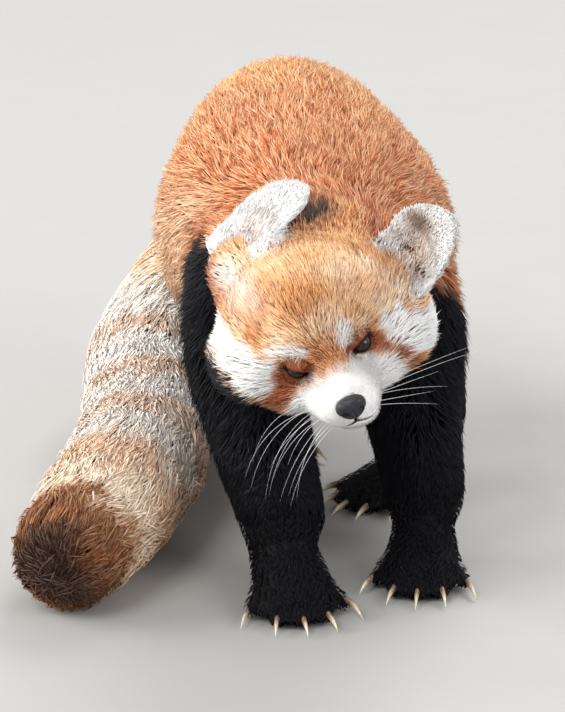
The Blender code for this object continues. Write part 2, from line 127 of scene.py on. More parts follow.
BROW_RIGHT = ((-3.8, 1.7), (-3.0, 2.05), (-2.0, 1.95), (-1.3, 1.55), (-1.2, 1.0), (-1.75, 0.85),
              (-2.6, 1.15), (-3.4, 1.4))
BROW_LEFT = ((1.05, 2.0), (1.5, 2.35), (2.1, 2.0), (2.05, 1.3), (1.65, 0.55), (1.1, 0.45), (0.8, 1.1))
BROW_FAINT = ((2.1, 2.1), (3.2, 1.9), (3.6, 1.1), (3.1, 0.6), (2.3, 0.8))
TEAR_RIGHT = ((-3.7, 0.25), (-2.9, -0.05), (-1.9, -0.45), (-2.7, -1.0), (-3.6, -1.8), (-4.8, -2.9),
              (-5.8, -2.4), (-5.2, -1.6), (-4.4, -1.0), (-3.9, -0.5))
TEAR_LEFT = ((2.2, -0.3), (3.1, 0.2), (3.8, 0.1), (3.9, -0.5), (4.4, -1.2), (5.0, -1.8), (5.6, -3.0),
             (5.2, -4.2), (4.5, -3.6), (4.3, -2.1), (3.9, -1.2), (2.9, -0.9))
THROAT = ((-6.35, 2.4), (-6.45, 1.2), (-5.95, -0.5), (-5.1, -1.85), (-4.3, -2.45), (-3.6, -2.7),
          (-3.6, -5.0), (-9.0, -5.0), (-9.0, 2.4))
MOUTH_LINE = ((-3.2, -2.75), (-2.2, -3.25), (-1.0, -3.4), (-0.05, -3.0), (0.0, -2.4),
              (0.05, -3.0), (1.0, -3.4), (2.2, -3.25), (3.2, -2.75))

# Each eye's opening: how far it goes sideways, up and down on the eyeball, and its tilt, in degrees
EYE_OPENINGS = {"eye_left": (68, 27, 26, 20), "eye_right": (72, 8, 15, 34)}
# The dark hair round each eye: its middle on the face, its slope in degrees, and its half length and width
EYE_DARKS = {"eye_left": (2.2, 0.0, 18, 0.76, 0.34), "eye_right": (-2.3, 0.0, -34, 0.74, 0.22)}
EYE_TURN = math.radians(16)
EYE_DROOP = math.radians(4)
CORNEA_BULGE = 0.045
IRIS_REACH = 0.95
# The lids: how far they reach, how thick their rims are, how far out they are black, how deep their hair
# is, and the rows of points round an eye and outwards. NOT_A_LID stands for the rest of the skin.
LID_REACH = 1.3
LID_RIM = 0.05
LID_DARK = 0.09
LID_COAT = 0.16
LID_ROWS = 64
LID_STEPS = 12
NOT_A_LID = 9.0

# Colours, of 0 to 255, of the bleached tips of the hair, of the painted shade that darkens the roots of the
# tufts and the skin between them, of the painted shade on white hair, and of the painted bluish sheen on
# the tips of the black hair
BLEACHED_TIP = (248, 214, 176)
PAINTED_FUR_SHADE = (138, 86, 56)
PAINTED_WHITE_SHADE = (220, 214, 210)
PAINTED_BLACK_SHEEN = (34, 37, 48)

# How freely the skin is smoothed in each region as it is taken in under the coat
LOOSE_SKIN = {"neck": 1.0, "trunk": 1.0, "forelegs": 0.6, "hindlegs": 0.6, "feet": 0.1, "tail": 0.8}

# How far towards its tip a tuft is seen, so that its colour is the one of the coat's surface there, how far
# its root is sunk in the skin, how near the floor its bend and its tip may come, in metres, and the size of
# its patch on the unwrap
SEEN_AT = 0.7
ROOT_SUNK = 0.0004
LOWEST_BEND = 0.0008
LOWEST_TIP = 0.0006
PATCH_SIZE = 0.003

UP = np.array((0, 0, 1.0))
# Each claw: half its width and height at the root, how high it arches for its length, how far its root is
# lifted, in metres, and the rings that it is made of
CLAW_HALF_WIDTH = 0.165
CLAW_HALF_HEIGHT = 0.27
CLAW_ARCH = 0.13
CLAW_LIFT = 0.0006
CLAW_STEPS = 15

# The rows of whiskers on each side, and how far they fall for their length
WHISKER_ROWS = {-1: 4, 1: 3}
WHISKER_FALL = {-1: (0.45, 0.75), 1: (0.02, 0.16)}
WHISKER_STEPS = 14

FLOOR_RADIUS = 9
# Each light: its place, the height that it points at, its width, its power and its colour
LIGHTS = {
    "key light": ((-1.4, -1.7, 2.6), 0.15, 1.6, 52, (1.0, 0.985, 0.96)),
    "fill light": ((2.2, -1.7, 1.4), 0.15, 2.0, 46, (0.98, 0.99, 1.0)),
    "side light": ((-2.6, 0.2, 1.0), 0.12, 2.0, 106, (1.0, 0.99, 0.97)),
    "back light": ((0.7, 2.0, 2.2), 0.15, 1.4, 56, (1.0, 1.0, 1.0)),
}
CAMERA_LENS = 202.0
CAMERA_AIM = (-1.22, 0.0, 17.56)
CAMERA_RISE = math.radians(20.0)
CAMERA_DISTANCE = 2.5

work = {}


def srgb(red, green, blue):
    """A colour given as 0 to 255 on a screen, as the light that a material works with."""
    return tuple(c / 12.92 if c <= 0.04045 else ((c + 0.055) / 1.055) ** 2.4
                 for c in (red / 255, green / 255, blue / 255))


def head_turn():
    """The turn from the face's own directions into the frame's."""
    return (Matrix.Rotation(HEAD_YAW, 4, "Z") @ Matrix.Rotation(HEAD_PITCH, 4, "X")
            @ Matrix.Rotation(-FACE_ROLL, 4, "Y"))


FACE_AXES = np.array(head_turn().to_3x3())


# Sizes and colours that a user may change

def colour_prop(name, description, default):
    return bpy.props.FloatVectorProperty(name=name, description=description, default=srgb(*default),
                                         size=3, min=0, max=1, subtype="COLOR")


def share_prop(name, description, default=1.0, low=0.2, high=2.0):
    return bpy.props.FloatProperty(name=name, description=description, default=default, min=low, max=high,
                                   subtype="FACTOR")


def length_prop(name, description, default, low, high):
    return bpy.props.FloatProperty(name=name, description=description, default=default, min=low, max=high,
                                   subtype="DISTANCE", unit="LENGTH")


class PANDA_PG_sizes(bpy.types.PropertyGroup):
    """Sizes that a user may change before the pieces are made."""
    coat_depth: share_prop("Coat Depth", "Depth of the coat as a share of the real one")
    coat_fullness: share_prop("Coat Fullness", "Number of tufts as a share of the full coat")
    tuft_width: share_prop("Tuft Width", "Width of each tuft as a share of the usual one")
    whisker_length: length_prop("Whisker Length", "Length of the longest whiskers", 0.078, 0.02, 0.12)
    whisker_width: length_prop("Whisker Width", "Width of a whisker at its root", 0.00030, 0.0002, 0.001)
    claw_sheath: length_prop("Claw Root", "How far a claw goes back into its toe", 0.006, 0.002, 0.01)
    light_strength: share_prop("Light Strength", "Strength of all the studio lights", 1.0, 0.1, 4.0)


class PANDA_PG_colours(bpy.types.PropertyGroup):
    """Colours of the coat and of the bare parts."""
    rust: colour_prop("Rust", "Colour of the back and the sides", (198, 108, 56))
    gold: colour_prop("Gold", "Colour of the head and of the tips along the back", (238, 180, 112))
    # On the flanks, peach is partly the coat's own colour and partly painted rim light.
    peach: colour_prop("Peach", "Pale colour low on the flanks", (250, 208, 172))
    deep: colour_prop("Deep Red", "Colour of the shoulders and under the eyes", (150, 66, 34))
    cream: colour_prop("Cream", "Colour of the brows and of the tail's pale rings", (250, 234, 210))
    snow: colour_prop("White", "Colour of the muzzle, the cheeks and the ears", (238, 238, 237))
    night: colour_prop("Black", "Colour of the legs, the chest and the belly", (9, 9, 12))
    horn: colour_prop("Claw Horn", "Colour of the claws", (196, 180, 150))
    leather: colour_prop("Nose Leather", "Colour of the nose pad", (22, 22, 26))
    iris: colour_prop("Iris", "Colour of the eyes round the pupil", (38, 20, 11))
    floor: colour_prop("Floor", "Colour of the floor", (160, 159, 156))


# Materials

class Value:
    """A material socket that can be multiplied, or taken from a number, in Python."""

    def __init__(self, finish, socket):
        self.finish, self.socket = finish, socket

    def sum(self, operation, left, right):
        return self.finish.add("ShaderNodeMath", {"operation": operation}, {0: left, 1: right})

    def __rsub__(self, other):
        return self.sum("SUBTRACT", other, self)

    def __mul__(self, other):
        return self.sum("MULTIPLY", self, other)

    def __rmul__(self, other):
        return self.sum("MULTIPLY", other, self)


class Finish:
    """One material, built from its nodes."""

    def __init__(self, name, **constants):
        self.material = bpy.data.materials.new(name)
        self.material.use_nodes = True
        self.tree = self.material.node_tree
        self.shader = next(n for n in self.tree.nodes if n.type == "BSDF_PRINCIPLED")
        for socket, value in constants.items():
            self.shader.inputs[socket.replace("_", " ")].default_value = value

    def add(self, kind, settings, values, output=0):
        """A node of that kind with its settings, then the values or links of its sockets."""
        node = self.tree.nodes.new(kind)
        for name, value in settings.items():
            setattr(node, name, value)
        for socket, value in values.items():
            self.put(node.inputs[socket], value)
        return Value(self, node.outputs[output])

    def put(self, socket, value):
        """Links a value into a socket, or sets it there."""
        if isinstance(value, Value):
            self.tree.links.new(value.socket, socket)
        elif isinstance(value, (tuple, list)) and len(value) == 3 and socket.type == "RGBA":
            socket.default_value = (*value, 1)
        else:
            socket.default_value = value

    def surface(self, name, value):
        self.put(self.shader.inputs[name], value)

    def place(self):
        return self.add("ShaderNodeTexCoord", {}, {}, "Object")

    def field(self, name):
        """A number that the mesh carries at each point."""
        return self.add("ShaderNodeAttribute", {"attribute_name": name}, {}, "Fac")

    def noise(self, where, scale, detail, roughness=0.5):
        return self.add("ShaderNodeTexNoise", {}, {"Vector": where, "Scale": scale, "Detail": detail,
                                                   "Roughness": roughness})

    def soft(self, value, low, high, start=0.0, end=1.0):
        """A smooth step from start to end while the value goes from low to high."""
        return self.add("ShaderNodeMapRange", {"interpolation_type": "SMOOTHSTEP"},
                        {0: value, 1: low, 2: high, 3: start, 4: end})

    def mix(self, factor, below, above, blend="MIX"):
        return self.add("ShaderNodeMix", {"data_type": "RGBA", "blend_type": blend},
                        {0: factor, 6: below, 7: above}, 2)

    def bump(self, height, strength, distance):
        return self.add("ShaderNodeBump", {},
                        {"Strength": strength, "Distance": distance, "Height": height})


def coat_finish(name, bare):
    """The markings of the coat, for the tufts or for the skin between their roots, with painted shade at
    the roots and on the bare skin, and a painted bluish sheen on the tips of the black hair.
    """
    colours = bpy.context.scene.panda_colours
    finish = Finish(name, Roughness=0.66, Specular_IOR_Level=0.16)
    where = finish.place()
    patchy = finish.noise(where, 34.0, 3.0)
    clumps = finish.noise(where, 150.0, 2.0)
    lift = 0.25 if bare else finish.field("lift")
    odd = finish.noise(where, 420.0, 2.0) if bare else finish.field("odd")
    night, snow = finish.field("night"), finish.field("snow")
    gold, peach = finish.field("gold"), finish.field("peach")
    deep, cream = finish.field("deep"), finish.field("cream")
    colour = finish.mix(gold, tuple(colours.rust), tuple(colours.gold))
    colour = finish.mix(peach, colour, tuple(colours.peach))
    colour = finish.mix(deep, colour, tuple(colours.deep))
    colour = finish.mix(finish.soft(patchy, 0.42, 0.75, 0.0, 0.25), colour, tuple(colours.deep))
    if not bare:
        tips = finish.soft(lift, 0.40, 1.0, 0.0, 0.75)
        tips = tips * finish.soft(odd, 0.15, 0.9) * (1.0 - 0.6 * deep)
        colour = finish.mix(tips, colour, srgb(*BLEACHED_TIP))
    colour = finish.mix(cream, colour, tuple(colours.cream))
    # Painted shade: the roots of the tufts and the bare skin between them are darkened towards a deep
    # brown. The darkening also varies at random from tuft to tuft and in clumps.
    shade = 0.7 if bare else finish.soft(lift, 0.0, 0.85, 0.45, 1.05)
    shade = shade * finish.soft(odd, 0.0, 1.0, 0.72, 1.12)
    shade = shade * finish.soft(clumps, 0.32, 0.66, 0.76, 1.08)
    colour = finish.mix(finish.soft(shade, 0.25, 1.0, 1.0, 0.0) * (1.0 - 0.45 * cream), colour,
                        srgb(*PAINTED_FUR_SHADE), "MULTIPLY")
    # Painted shade on white hair: white is mixed towards a greyer white where the painted shade is deep.
    pale = finish.mix(finish.soft(shade, 0.35, 1.0, 0.6, 0.0), tuple(colours.snow), srgb(*PAINTED_WHITE_SHADE))
    colour = finish.mix(snow, colour, pale)
    # Painted sheen: the tips of the black tufts are mixed towards a bluish grey.
    black_and_sheen = tuple(colours.night)
    if not bare:
        black_and_sheen = finish.mix(finish.soft(lift, 0.3, 1.0, 0.0, 0.6) * odd, black_and_sheen, srgb(*PAINTED_BLACK_SHEEN))
    colour = finish.mix(night, colour, black_and_sheen)
    finish.surface("Base Color", colour)
    if bare:
        hairs = finish.noise(where, 900.0, 2.0, 0.7)
        finish.surface("Normal", finish.bump(hairs, 0.5, 0.0006))
    return finish.material


def nose_finish():
    colours = bpy.context.scene.panda_colours
    finish = Finish("nose leather", Specular_IOR_Level=0.4)
    where = finish.place()
    pebbles = finish.add("ShaderNodeTexVoronoi", {"feature": "DISTANCE_TO_EDGE"},
                         {"Vector": where, "Scale": 1300.0})
    damp = finish.noise(where, 160.0, 3.0)
    shade = finish.mix(finish.soft(damp, 0.35, 0.7), tuple(colours.leather), srgb(34, 37, 46))
    finish.surface("Base Color", shade)
    finish.surface("Roughness", finish.soft(damp, 0.3, 0.7, 0.28, 0.46))
    finish.surface("Normal", finish.bump(finish.soft(pebbles, 0.0, 0.18), 0.55, 0.0003))
    return finish.material


def eye_finish():
    """A dark eye whose pupil and iris are rings about the way it looks, kept in an attribute."""
    colours = bpy.context.scene.panda_colours
    finish = Finish("eye", Roughness=0.10, Specular_IOR_Level=0.35, Coat_Weight=0.25, Coat_Roughness=0.03)
    ring = finish.field("ring")
    streaks = finish.noise(finish.place(), 900.0, 3.0)
    iris = finish.mix(finish.soft(streaks, 0.3, 0.7), tuple(colours.iris), srgb(58, 33, 18))
    colour = finish.mix(finish.soft(ring, 0.40, 0.50), srgb(6, 5, 5), iris)
    colour = finish.mix(finish.soft(ring, 0.78, 0.95), colour, srgb(24, 14, 10))
    finish.surface("Base Color", colour)
    return finish.material


def horn_finish():
    colours = bpy.context.scene.panda_colours
    finish = Finish("claw horn", Specular_IOR_Level=0.5)
    along = finish.field("along")
    grain = finish.noise(finish.place(), 700.0, 3.0)
    root = finish.mix(finish.soft(grain, 0.3, 0.7), srgb(96, 80, 66), srgb(128, 108, 86))
    tip = finish.mix(finish.soft(grain, 0.3, 0.7), tuple(colours.horn), srgb(226, 214, 188))
    finish.surface("Base Color", finish.mix(finish.soft(along, 0.2, 0.75), root, tip))
    finish.surface("Roughness", finish.soft(grain, 0.3, 0.7, 0.26, 0.42))
    finish.surface("Normal", finish.bump(grain, 0.15, 0.0003))
    return finish.material


def whisker_finish():
    finish = Finish("whisker", Roughness=0.35)
    along = finish.field("along")
    finish.surface("Base Color", finish.mix(along, srgb(206, 204, 206), srgb(240, 240, 242)))
    return finish.material


def floor_finish():
    finish = Finish("museum floor", Specular_IOR_Level=0.3)
    colours = bpy.context.scene.panda_colours
    speckle = finish.noise(finish.place(), 9.0, 4.0)
    finish.surface("Base Color", finish.mix(finish.soft(speckle, 0.3, 0.7, 0.0, 0.12), tuple(colours.floor),
                                            srgb(150, 149, 147)))
    finish.surface("Roughness", finish.soft(speckle, 0.3, 0.7, 0.55, 0.7))
    return finish.material


# Numbers over the body

def soft(low, high, value):
    share = np.clip((value - low) / (high - low), 0, 1)
    return share * share * (3 - 2 * share)


def unit(vectors):
    return vectors / np.maximum(np.linalg.norm(vectors, axis=-1, keepdims=True), 1e-9)


def own(points):
    """Points of the frame in the animal's own centimetres."""
    return points / CM - ORIGIN


def framed(points):
    return (np.asarray(points, float) + ORIGIN) * CM


def on_face(points):
    """Points given in the animal's own centimetres, from between the eyes and along the face."""
    return (points - np.array(EYE_MIDDLE)) @ FACE_AXES


def from_face(points):
    return np.asarray(points, float) @ FACE_AXES.T + np.array(EYE_MIDDLE)


def in_outline(x, z, outline, blur):
    """1 inside an outline and 0 outside it, with a soft border."""
    inside = np.zeros(len(x), bool)
    nearest = np.full(len(x), 1e9)
    corners = list(outline)
    for (x0, z0), (x1, z1) in zip(corners, corners[1:] + corners[:1]):
        crosses = (z0 > z) != (z1 > z)
        at = x0 + (z - z0) * (x1 - x0) / ((z1 - z0) or 1e-9)
        inside ^= crosses & (x < at)
        run = np.array((x1 - x0, z1 - z0))
        share = np.clip(((x - x0) * run[0] + (z - z0) * run[1]) / (run @ run), 0, 1)
        nearest = np.minimum(nearest, np.hypot(x - x0 - share * run[0], z - z0 - share * run[1]))
    return soft(-blur, blur, np.where(inside, nearest, -nearest))


def on_line(points, line):
    """How far along a line of points the place nearest to each point is, the way there and the distance."""
    line = np.asarray(line, float)
    best = np.full(len(points), 1e9)
    along, way = np.zeros(len(points)), np.zeros((len(points), line.shape[1]))
    start = 0.0
    for a, b in zip(line[:-1], line[1:]):
        run = b - a
        length = np.linalg.norm(run)
        share = np.clip(((points - a) @ run) / length ** 2, 0, 1)
        distance = np.linalg.norm(points - a - share[:, None] * run, axis=1)
        closer = distance < best
        best[closer] = distance[closer]
        along[closer] = start + share[closer] * length
        way[closer] = run / length
        start += length
    return along, way, best


def from_mouth(face):
    """How far points of the face are from the mouth's line, seen from in front."""
    _, _, away = on_line(face[:, [0, 2]], MOUTH_LINE)
    return away + 9 * soft(-0.9, 0.2, face[:, 1])


def ripple(points, size, seed):
    """Smooth random numbers about 0 to 1 over space, from a few crossed waves."""
    rng = np.random.default_rng(seed)
    total = np.zeros(len(points))
    for _ in range(7):
        wave = rng.normal(size=3)
        wave *= rng.uniform(0.6, 1.6) / (size * np.linalg.norm(wave)) * 2 * math.pi
        total += np.sin(points @ wave + rng.uniform(0, 6.28))
    return 0.5 + total / 7


def ear_place(points, name):
    """How far up an ear a point is, how far across, and how far in front of its middle."""
    root, axis, facing, length, half = EARS[name]
    axis, facing = unit(np.array(axis)), unit(np.array(facing))
    facing = unit(facing - axis * (facing @ axis))
    across = np.cross(axis, facing)
    offset = points - np.array(root)
    return offset @ axis / length, offset @ across / half, offset @ facing


class Spots:
    """Points of the coat in the animal's own centimetres, and what the markings are worked out from."""

    def __init__(self, points, normals, share):
        self.points, self.normals = points, normals
        self.x, self.y, self.z = points.T
        self.fx, self.fy, self.fz = on_face(points).T
        self.part = {name: share[:, i] for i, name in enumerate(REGIONS)}
        self.head = np.clip(self.part["head"] * 1.6, 0, 1)
        self.ears = np.clip(self.part["ear_left"] + self.part["ear_right"], 0, 1)
        self.tail = self.part["tail"]
        self.body = sum(self.part[name] for name in ("trunk", "neck", "hindlegs", "forelegs"))
        self.body = np.clip(self.body, 0, 1) * (1 - self.head)
        self.wander = ripple(points, 3.2, 3) - 0.5
        self.wisps = ripple(points, 0.9, 4) - 0.5
        border = np.interp(self.y, *zip(*BLACK_BORDER)) - BORDER_DROP * soft(3.5, 6.5, self.x)
        self.above = self.z - border - self.wander * 1.4 - self.wisps * 0.5
        self.front = soft(4.8, 3.2, self.fy)
        self.throat = self.inside(THROAT, 0.25, 0.4, 0.4) * soft(5.5, 4.0, self.fy) * self.head
        self.streak = np.maximum(self.inside(TEAR_RIGHT, 0.2), self.inside(TEAR_LEFT, 0.2)) * self.front

    def inside(self, outline, blur, ragged=0.0, ragged_up=0.0):
        """1 inside an outline drawn on the face and 0 outside it, with a soft and ragged border."""
        return in_outline(self.fx + self.wisps * ragged, self.fz + self.wisps * ragged_up, outline, blur)


def black_at(at):
    """Legs, chest, belly, throat and the right side of the collar, and a painted shadow behind the right
    ear.
    """
    rest = (1 - at.tail) * (1 - at.ears)
    legs = np.clip(at.part["feet"] + at.part["forelegs"] * soft(19, 17, at.z), 0, 1)
    under = soft(0.2, 0.75, -at.normals[:, 2]) * soft(3.0, 1.0, at.above) * rest * (1 - at.head)
    jaw = soft(-4.6, -5.3, at.fz + at.wisps * 0.4) + soft(7.4, 8.6, at.fy) * soft(0.4, -0.8, at.fz)
    black = np.maximum.reduce((soft(0.7, -0.7, at.above) * rest, legs, under))
    black = black * (1 - at.head) + at.head * np.clip(jaw, 0, 1)
    collar = soft(5.6, 6.8, at.fy + np.abs(at.fx) * 0.1) * soft(2.6, 1.6, at.fz + at.wander)
    collar *= soft(-4.2, -5.0, at.fx) * at.head
    # Painted shadow: a soft black patch on the head behind the right ear, kept off the ear itself.
    painted_ear_shadow = np.exp(-np.linalg.norm((at.points - PAINTED_SHADOW_BEHIND_EAR) / PAINTED_SHADOW_BEHIND_EAR_SIZE, axis=1) ** 2.8)
    painted_ear_shadow = np.clip(painted_ear_shadow * (1.1 + at.wisps), 0, 0.95) * (1 - at.ears)
    return np.maximum.reduce((black, collar, at.throat, painted_ear_shadow))


def white_at(at):
    """The cheeks and the muzzle, cut by the streaks under the eyes."""
    cheeks = np.maximum(at.inside(CHEEK_RIGHT, 0.22, 0.5, 0.3), at.inside(CHEEK_LEFT, 0.22, 0.5, 0.3))
    muzzle = at.inside(MUZZLE, 0.28, 0, 0.3) * soft(3.4, 2.4, at.fy)
    white = np.maximum(cheeks * soft(6.4, 5.0, at.fy), muzzle)
    return white * (1 - 0.92 * at.streak) * at.head * (1 - at.throat)


def round_eyes(at):
    """The rust hair round and under the eyes, and the dark edges of the lids."""
    tear, lids = at.streak, np.zeros(len(at.x))
    for middle_x, middle_z, slope, long, thick in EYE_DARKS.values():
        away = np.hypot((at.fx - middle_x) / 1.15, (at.fz - 0.05) / 0.85)
        tear = np.maximum(tear, soft(1.25, 0.8, away) * at.front)
        cosine, sine = math.cos(math.radians(slope)), math.sin(math.radians(slope))
        dx, dz = at.fx - middle_x, at.fz - middle_z
        away = np.hypot((dx * cosine + dz * sine) / long, (dz * cosine - dx * sine) / thick)
        lids = np.maximum(lids, soft(1.15, 0.9, away) * at.front * at.head)
    return tear * at.head * (1 - at.throat), lids


def mark_head_and_body(at, marks, white, tear):
    """Gold, peach, deep red and cream on the head and the body. The peach on the flanks is partly painted
    rim light.
    """
    side = soft(4.0, 5.2, at.fy + at.wisps) * soft(-3.0, -4.2, at.fx) * soft(6.0, 5.0, at.fz)
    side = np.maximum(soft(4.2, 5.6, at.fy + at.wisps) * soft(3.6, 2.4, at.fz), side) * at.head
    over = soft(2.5, 6.5, at.fz + at.fy * 0.15) * at.head
    gold = at.head * (0.80 + 0.10 * over + 0.5 * at.wander) * (1 - 0.7 * side)
    bridge = np.exp(-((at.fx - 0.2) / 1.3) ** 2 - ((at.fz - 0.9) / 1.2) ** 2) * at.front
    gold *= (1 - 0.35 * bridge) * (1 - 0.6 * soft(5.0, 8.0, at.fy))
    back = at.body * (0.30 + 0.40 * soft(21, 30, at.y) + 0.5 * at.wander) * soft(-3, 6, at.above)
    withers = at.body * np.exp(-((at.y - 13.0) / 6.0) ** 2) * soft(17, 22, at.z)
    nape = np.exp(-((at.y - 8.5) / 3.2) ** 2) * soft(20, 23, at.z) * (1 - at.ears)
    deep = np.maximum.reduce((tear * 0.92, withers * (0.36 + 0.6 * at.wander),
                              nape * 0.45 * (1 - at.head), side * 0.75 * (1 - white)))
    # Pale peach low on the sides that face outwards: partly the coat's own colour, partly painted rim light
    # that lightens the flanks.
    pale_flank_and_rim_light = soft(13.0, 4.0, at.above) * soft(12.0, 16.0, at.y) * soft(0.85, 0.35, at.normals[:, 2])
    fringe = soft(3.0, 1.4, np.abs(at.fz - 2.6)) * soft(3.2, 4.4, np.abs(at.fx)) * at.front
    crown = soft(0.3, 1.9, at.fz) * soft(5.5, 3.0, at.fy) * (0.24 + at.wander * 0.8)
    marks["gold"] = np.maximum(gold, back)
    marks["deep"] = deep
    marks["peach"] = pale_flank_and_rim_light * at.body * (1.3 + 0.4 * at.wander)
    marks["cream"] = at.head * np.maximum(fringe * (0.45 + at.wander), crown * (1 - side))


def mark_tail(at, marks):
    """The tail's rings, its paler middle, its dark tip, and painted shade that browns its underside and the
    side away from the side light.
    """
    along, _, _ = on_line(at.points, TAIL_LINE)
    last = np.linalg.norm(np.diff(np.array(TAIL_LINE), axis=0), axis=1).sum()
    turn = (along + at.wander * 2.4 + at.wisps * 0.8 - 3.0) / TAIL_RING * 2 * math.pi
    rings = 0.5 + 0.5 * np.cos(turn)
    to_end = along + at.wander * 2.0 - last
    dusk = soft(-TAIL_TIP_DARK - 2.5, 0.8 - TAIL_TIP_DARK, to_end + at.wisps * 1.2) * at.tail
    ends = soft(-TAIL_TIP_DARK, 0.6 - TAIL_TIP_DARK / 2, to_end) * at.tail
    # Painted shade: the tail's underside is made browner and less white, and from about 20 cm along so is
    # the side away from the side light.
    below = soft(0.1, -0.6, at.normals[:, 2] - 0.5 * at.normals[:, 0] * soft(20, 26, along))
    pale = soft(11.0, 20.0, along) * soft(last - 8, last - 20, along)
    white = at.tail * pale * (0.30 + 0.5 * rings) * (1 - 0.6 * below)
    cream = at.tail * (0.32 + 0.68 * rings) * (1 - dusk) * (1 - 0.4 * below)
    marks["snow"] = np.maximum(marks["snow"], white)
    marks["cream"] = np.maximum(marks["cream"], cream)
    marks["gold"] = marks["gold"] * (1 - at.tail) + at.tail * (0.62 + 0.5 * at.wander)
    marks["peach"] = marks["peach"] * (1 - at.tail) + at.tail * 0.35 * (1 - dusk)
    marks["deep"] = np.maximum.reduce((marks["deep"] * (1 - at.tail), dusk * 0.5, at.tail * 0.3 * below))
    marks["night"] = np.maximum.reduce((marks["night"], dusk * 0.45, ends * 0.9))


def mark_ear(at, marks, name):
    """A white ear, beige in its hollow, with a shaded patch near its tip and a rust and black back."""
    up, across, ahead = ear_place(at.points, name)
    shows = soft(-0.25, 0.25, at.normals @ unit(np.array(EARS[name][2])))
    here = np.clip(at.part[name] * 1.8, 0, 1)
    hollow = np.exp(-((across / 0.55) ** 2 + ((up - 0.36) / 0.28) ** 2) ** 1.4) * shows
    rim = np.maximum(soft(0.66, 0.88, up), soft(0.6, 0.92, np.abs(across)) * soft(0.05, 0.3, up))
    back = (1 - shows) * (1 - rim) * soft(0.12, 0.3, up) * soft(0.2, -0.3, ahead)
    patch = np.exp(-((across + 0.5) / 0.32) ** 2 - ((up - 0.6) / 0.12) ** 2) * shows
    beige = hollow * EAR_BEIGE[name]
    own_marks = {
        "snow": np.maximum(1 - back - beige, rim),
        "night": np.maximum(back * soft(0.35, 0.6, up), np.clip(patch * 1.3, 0, 1) * EAR_SHADOW[name]),
        "deep": back * 0.85, "cream": beige, "gold": 0.7, "peach": 0.0,
    }
    for colour, values in own_marks.items():
        marks[colour] = marks[colour] * (1 - here) + here * values


def markings(points, normals, share):
    """The markings at points in the animal's own centimetres. share says how much each region counts."""
    at = Spots(points, normals, share)
    white = white_at(at)
    tear, lids = round_eyes(at)
    marks = {"night": black_at(at)}
    mark_head_and_body(at, marks, white, tear * (1 - white))
    brows = np.maximum(at.inside(BROW_RIGHT, 0.26, 0.3), at.inside(BROW_LEFT, 0.26)) * at.front * at.head
    faint = at.inside(BROW_FAINT, 0.5) * at.front * at.head
    tuck = np.exp(-((at.fx + 3.7) / 1.1) ** 2 - ((at.fz - 5.2) / 1.1) ** 2)
    tuck *= at.head * soft(7.0, 5.5, at.fy)
    marks["snow"] = np.maximum.reduce((white, brows * 0.9, tuck * 0.45))
    marks["cream"] = np.maximum.reduce((marks["cream"], faint * 0.55, tuck * 0.8))
    mark_tail(at, marks)
    pale = marks["snow"]
    for name in EARS:
        mark_ear(at, marks, name)
    marks["snow"] = marks["snow"] * (1 - marks["night"] * (1 - at.head)) * (1 - lids)
    marks["night"] = np.maximum(marks["night"] * (1 - pale), lids)
    return {name: np.clip(value, 0, 1) for name, value in marks.items()}


# Meshes from arrays

def mesh_of(name, points, faces):
    """A mesh of triangles, smooth all over."""
    mesh = bpy.data.meshes.new(name)
    mesh.vertices.add(len(points))
    mesh.vertices.foreach_set("co", np.ascontiguousarray(points, np.float32).ravel())
    mesh.loops.add(faces.size)
    mesh.polygons.add(len(faces))
    mesh.loops.foreach_set("vertex_index", np.ascontiguousarray(faces, np.int32).ravel())
    mesh.polygons.foreach_set("loop_start", np.arange(0, faces.size, 3, dtype=np.int32))
    mesh.polygons.foreach_set("use_smooth", np.ones(len(faces), bool))
    mesh.update(calc_edges=True)
    return mesh


def give_field(mesh, name, values):
    field = mesh.attributes.new(name, "FLOAT", "POINT")
    field.data.foreach_set("value", np.ascontiguousarray(values, np.float32))


def placed(name, mesh, finish, replaced=()):
    """Puts a new mesh in the scene as a piece with its finish."""
    obj = bpy.data.objects.new(name, mesh)
    bpy.context.scene.collection.objects.link(obj)
    mesh.materials.append(finish)
    settle(obj, replaced)


def settle(obj, replaced):
    """Lets a piece ride on the model, and hides the solids that it stands for."""
    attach(obj, "root")
    if replaced:
        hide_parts(*replaced)


def points_of(mesh):
    co = np.empty(len(mesh.vertices) * 3, np.float32)
    mesh.vertices.foreach_get("co", co)
    return co.reshape(-1, 3).astype(float)


def triangles_of(mesh):
    mesh.calc_loop_triangles()
    tris = np.empty(len(mesh.loop_triangles) * 3, np.int32)
    mesh.loop_triangles.foreach_get("vertices", tris)
    corners = np.empty(len(mesh.loop_triangles) * 3, np.int32)
    mesh.loop_triangles.foreach_get("loops", corners)
    return tris.reshape(-1, 3), corners.reshape(-1, 3)


def normals_of(points, tris):
    """Outward directions at the points of a mesh."""
    one, two, three = (points[tris[:, corner]] for corner in range(3))
    face = np.cross(two - one, three - one)
    total = np.zeros_like(points)
    for corner in range(3):
        for axis in range(3):
            total[:, axis] += np.bincount(tris[:, corner], face[:, axis], len(points))
    return unit(total)


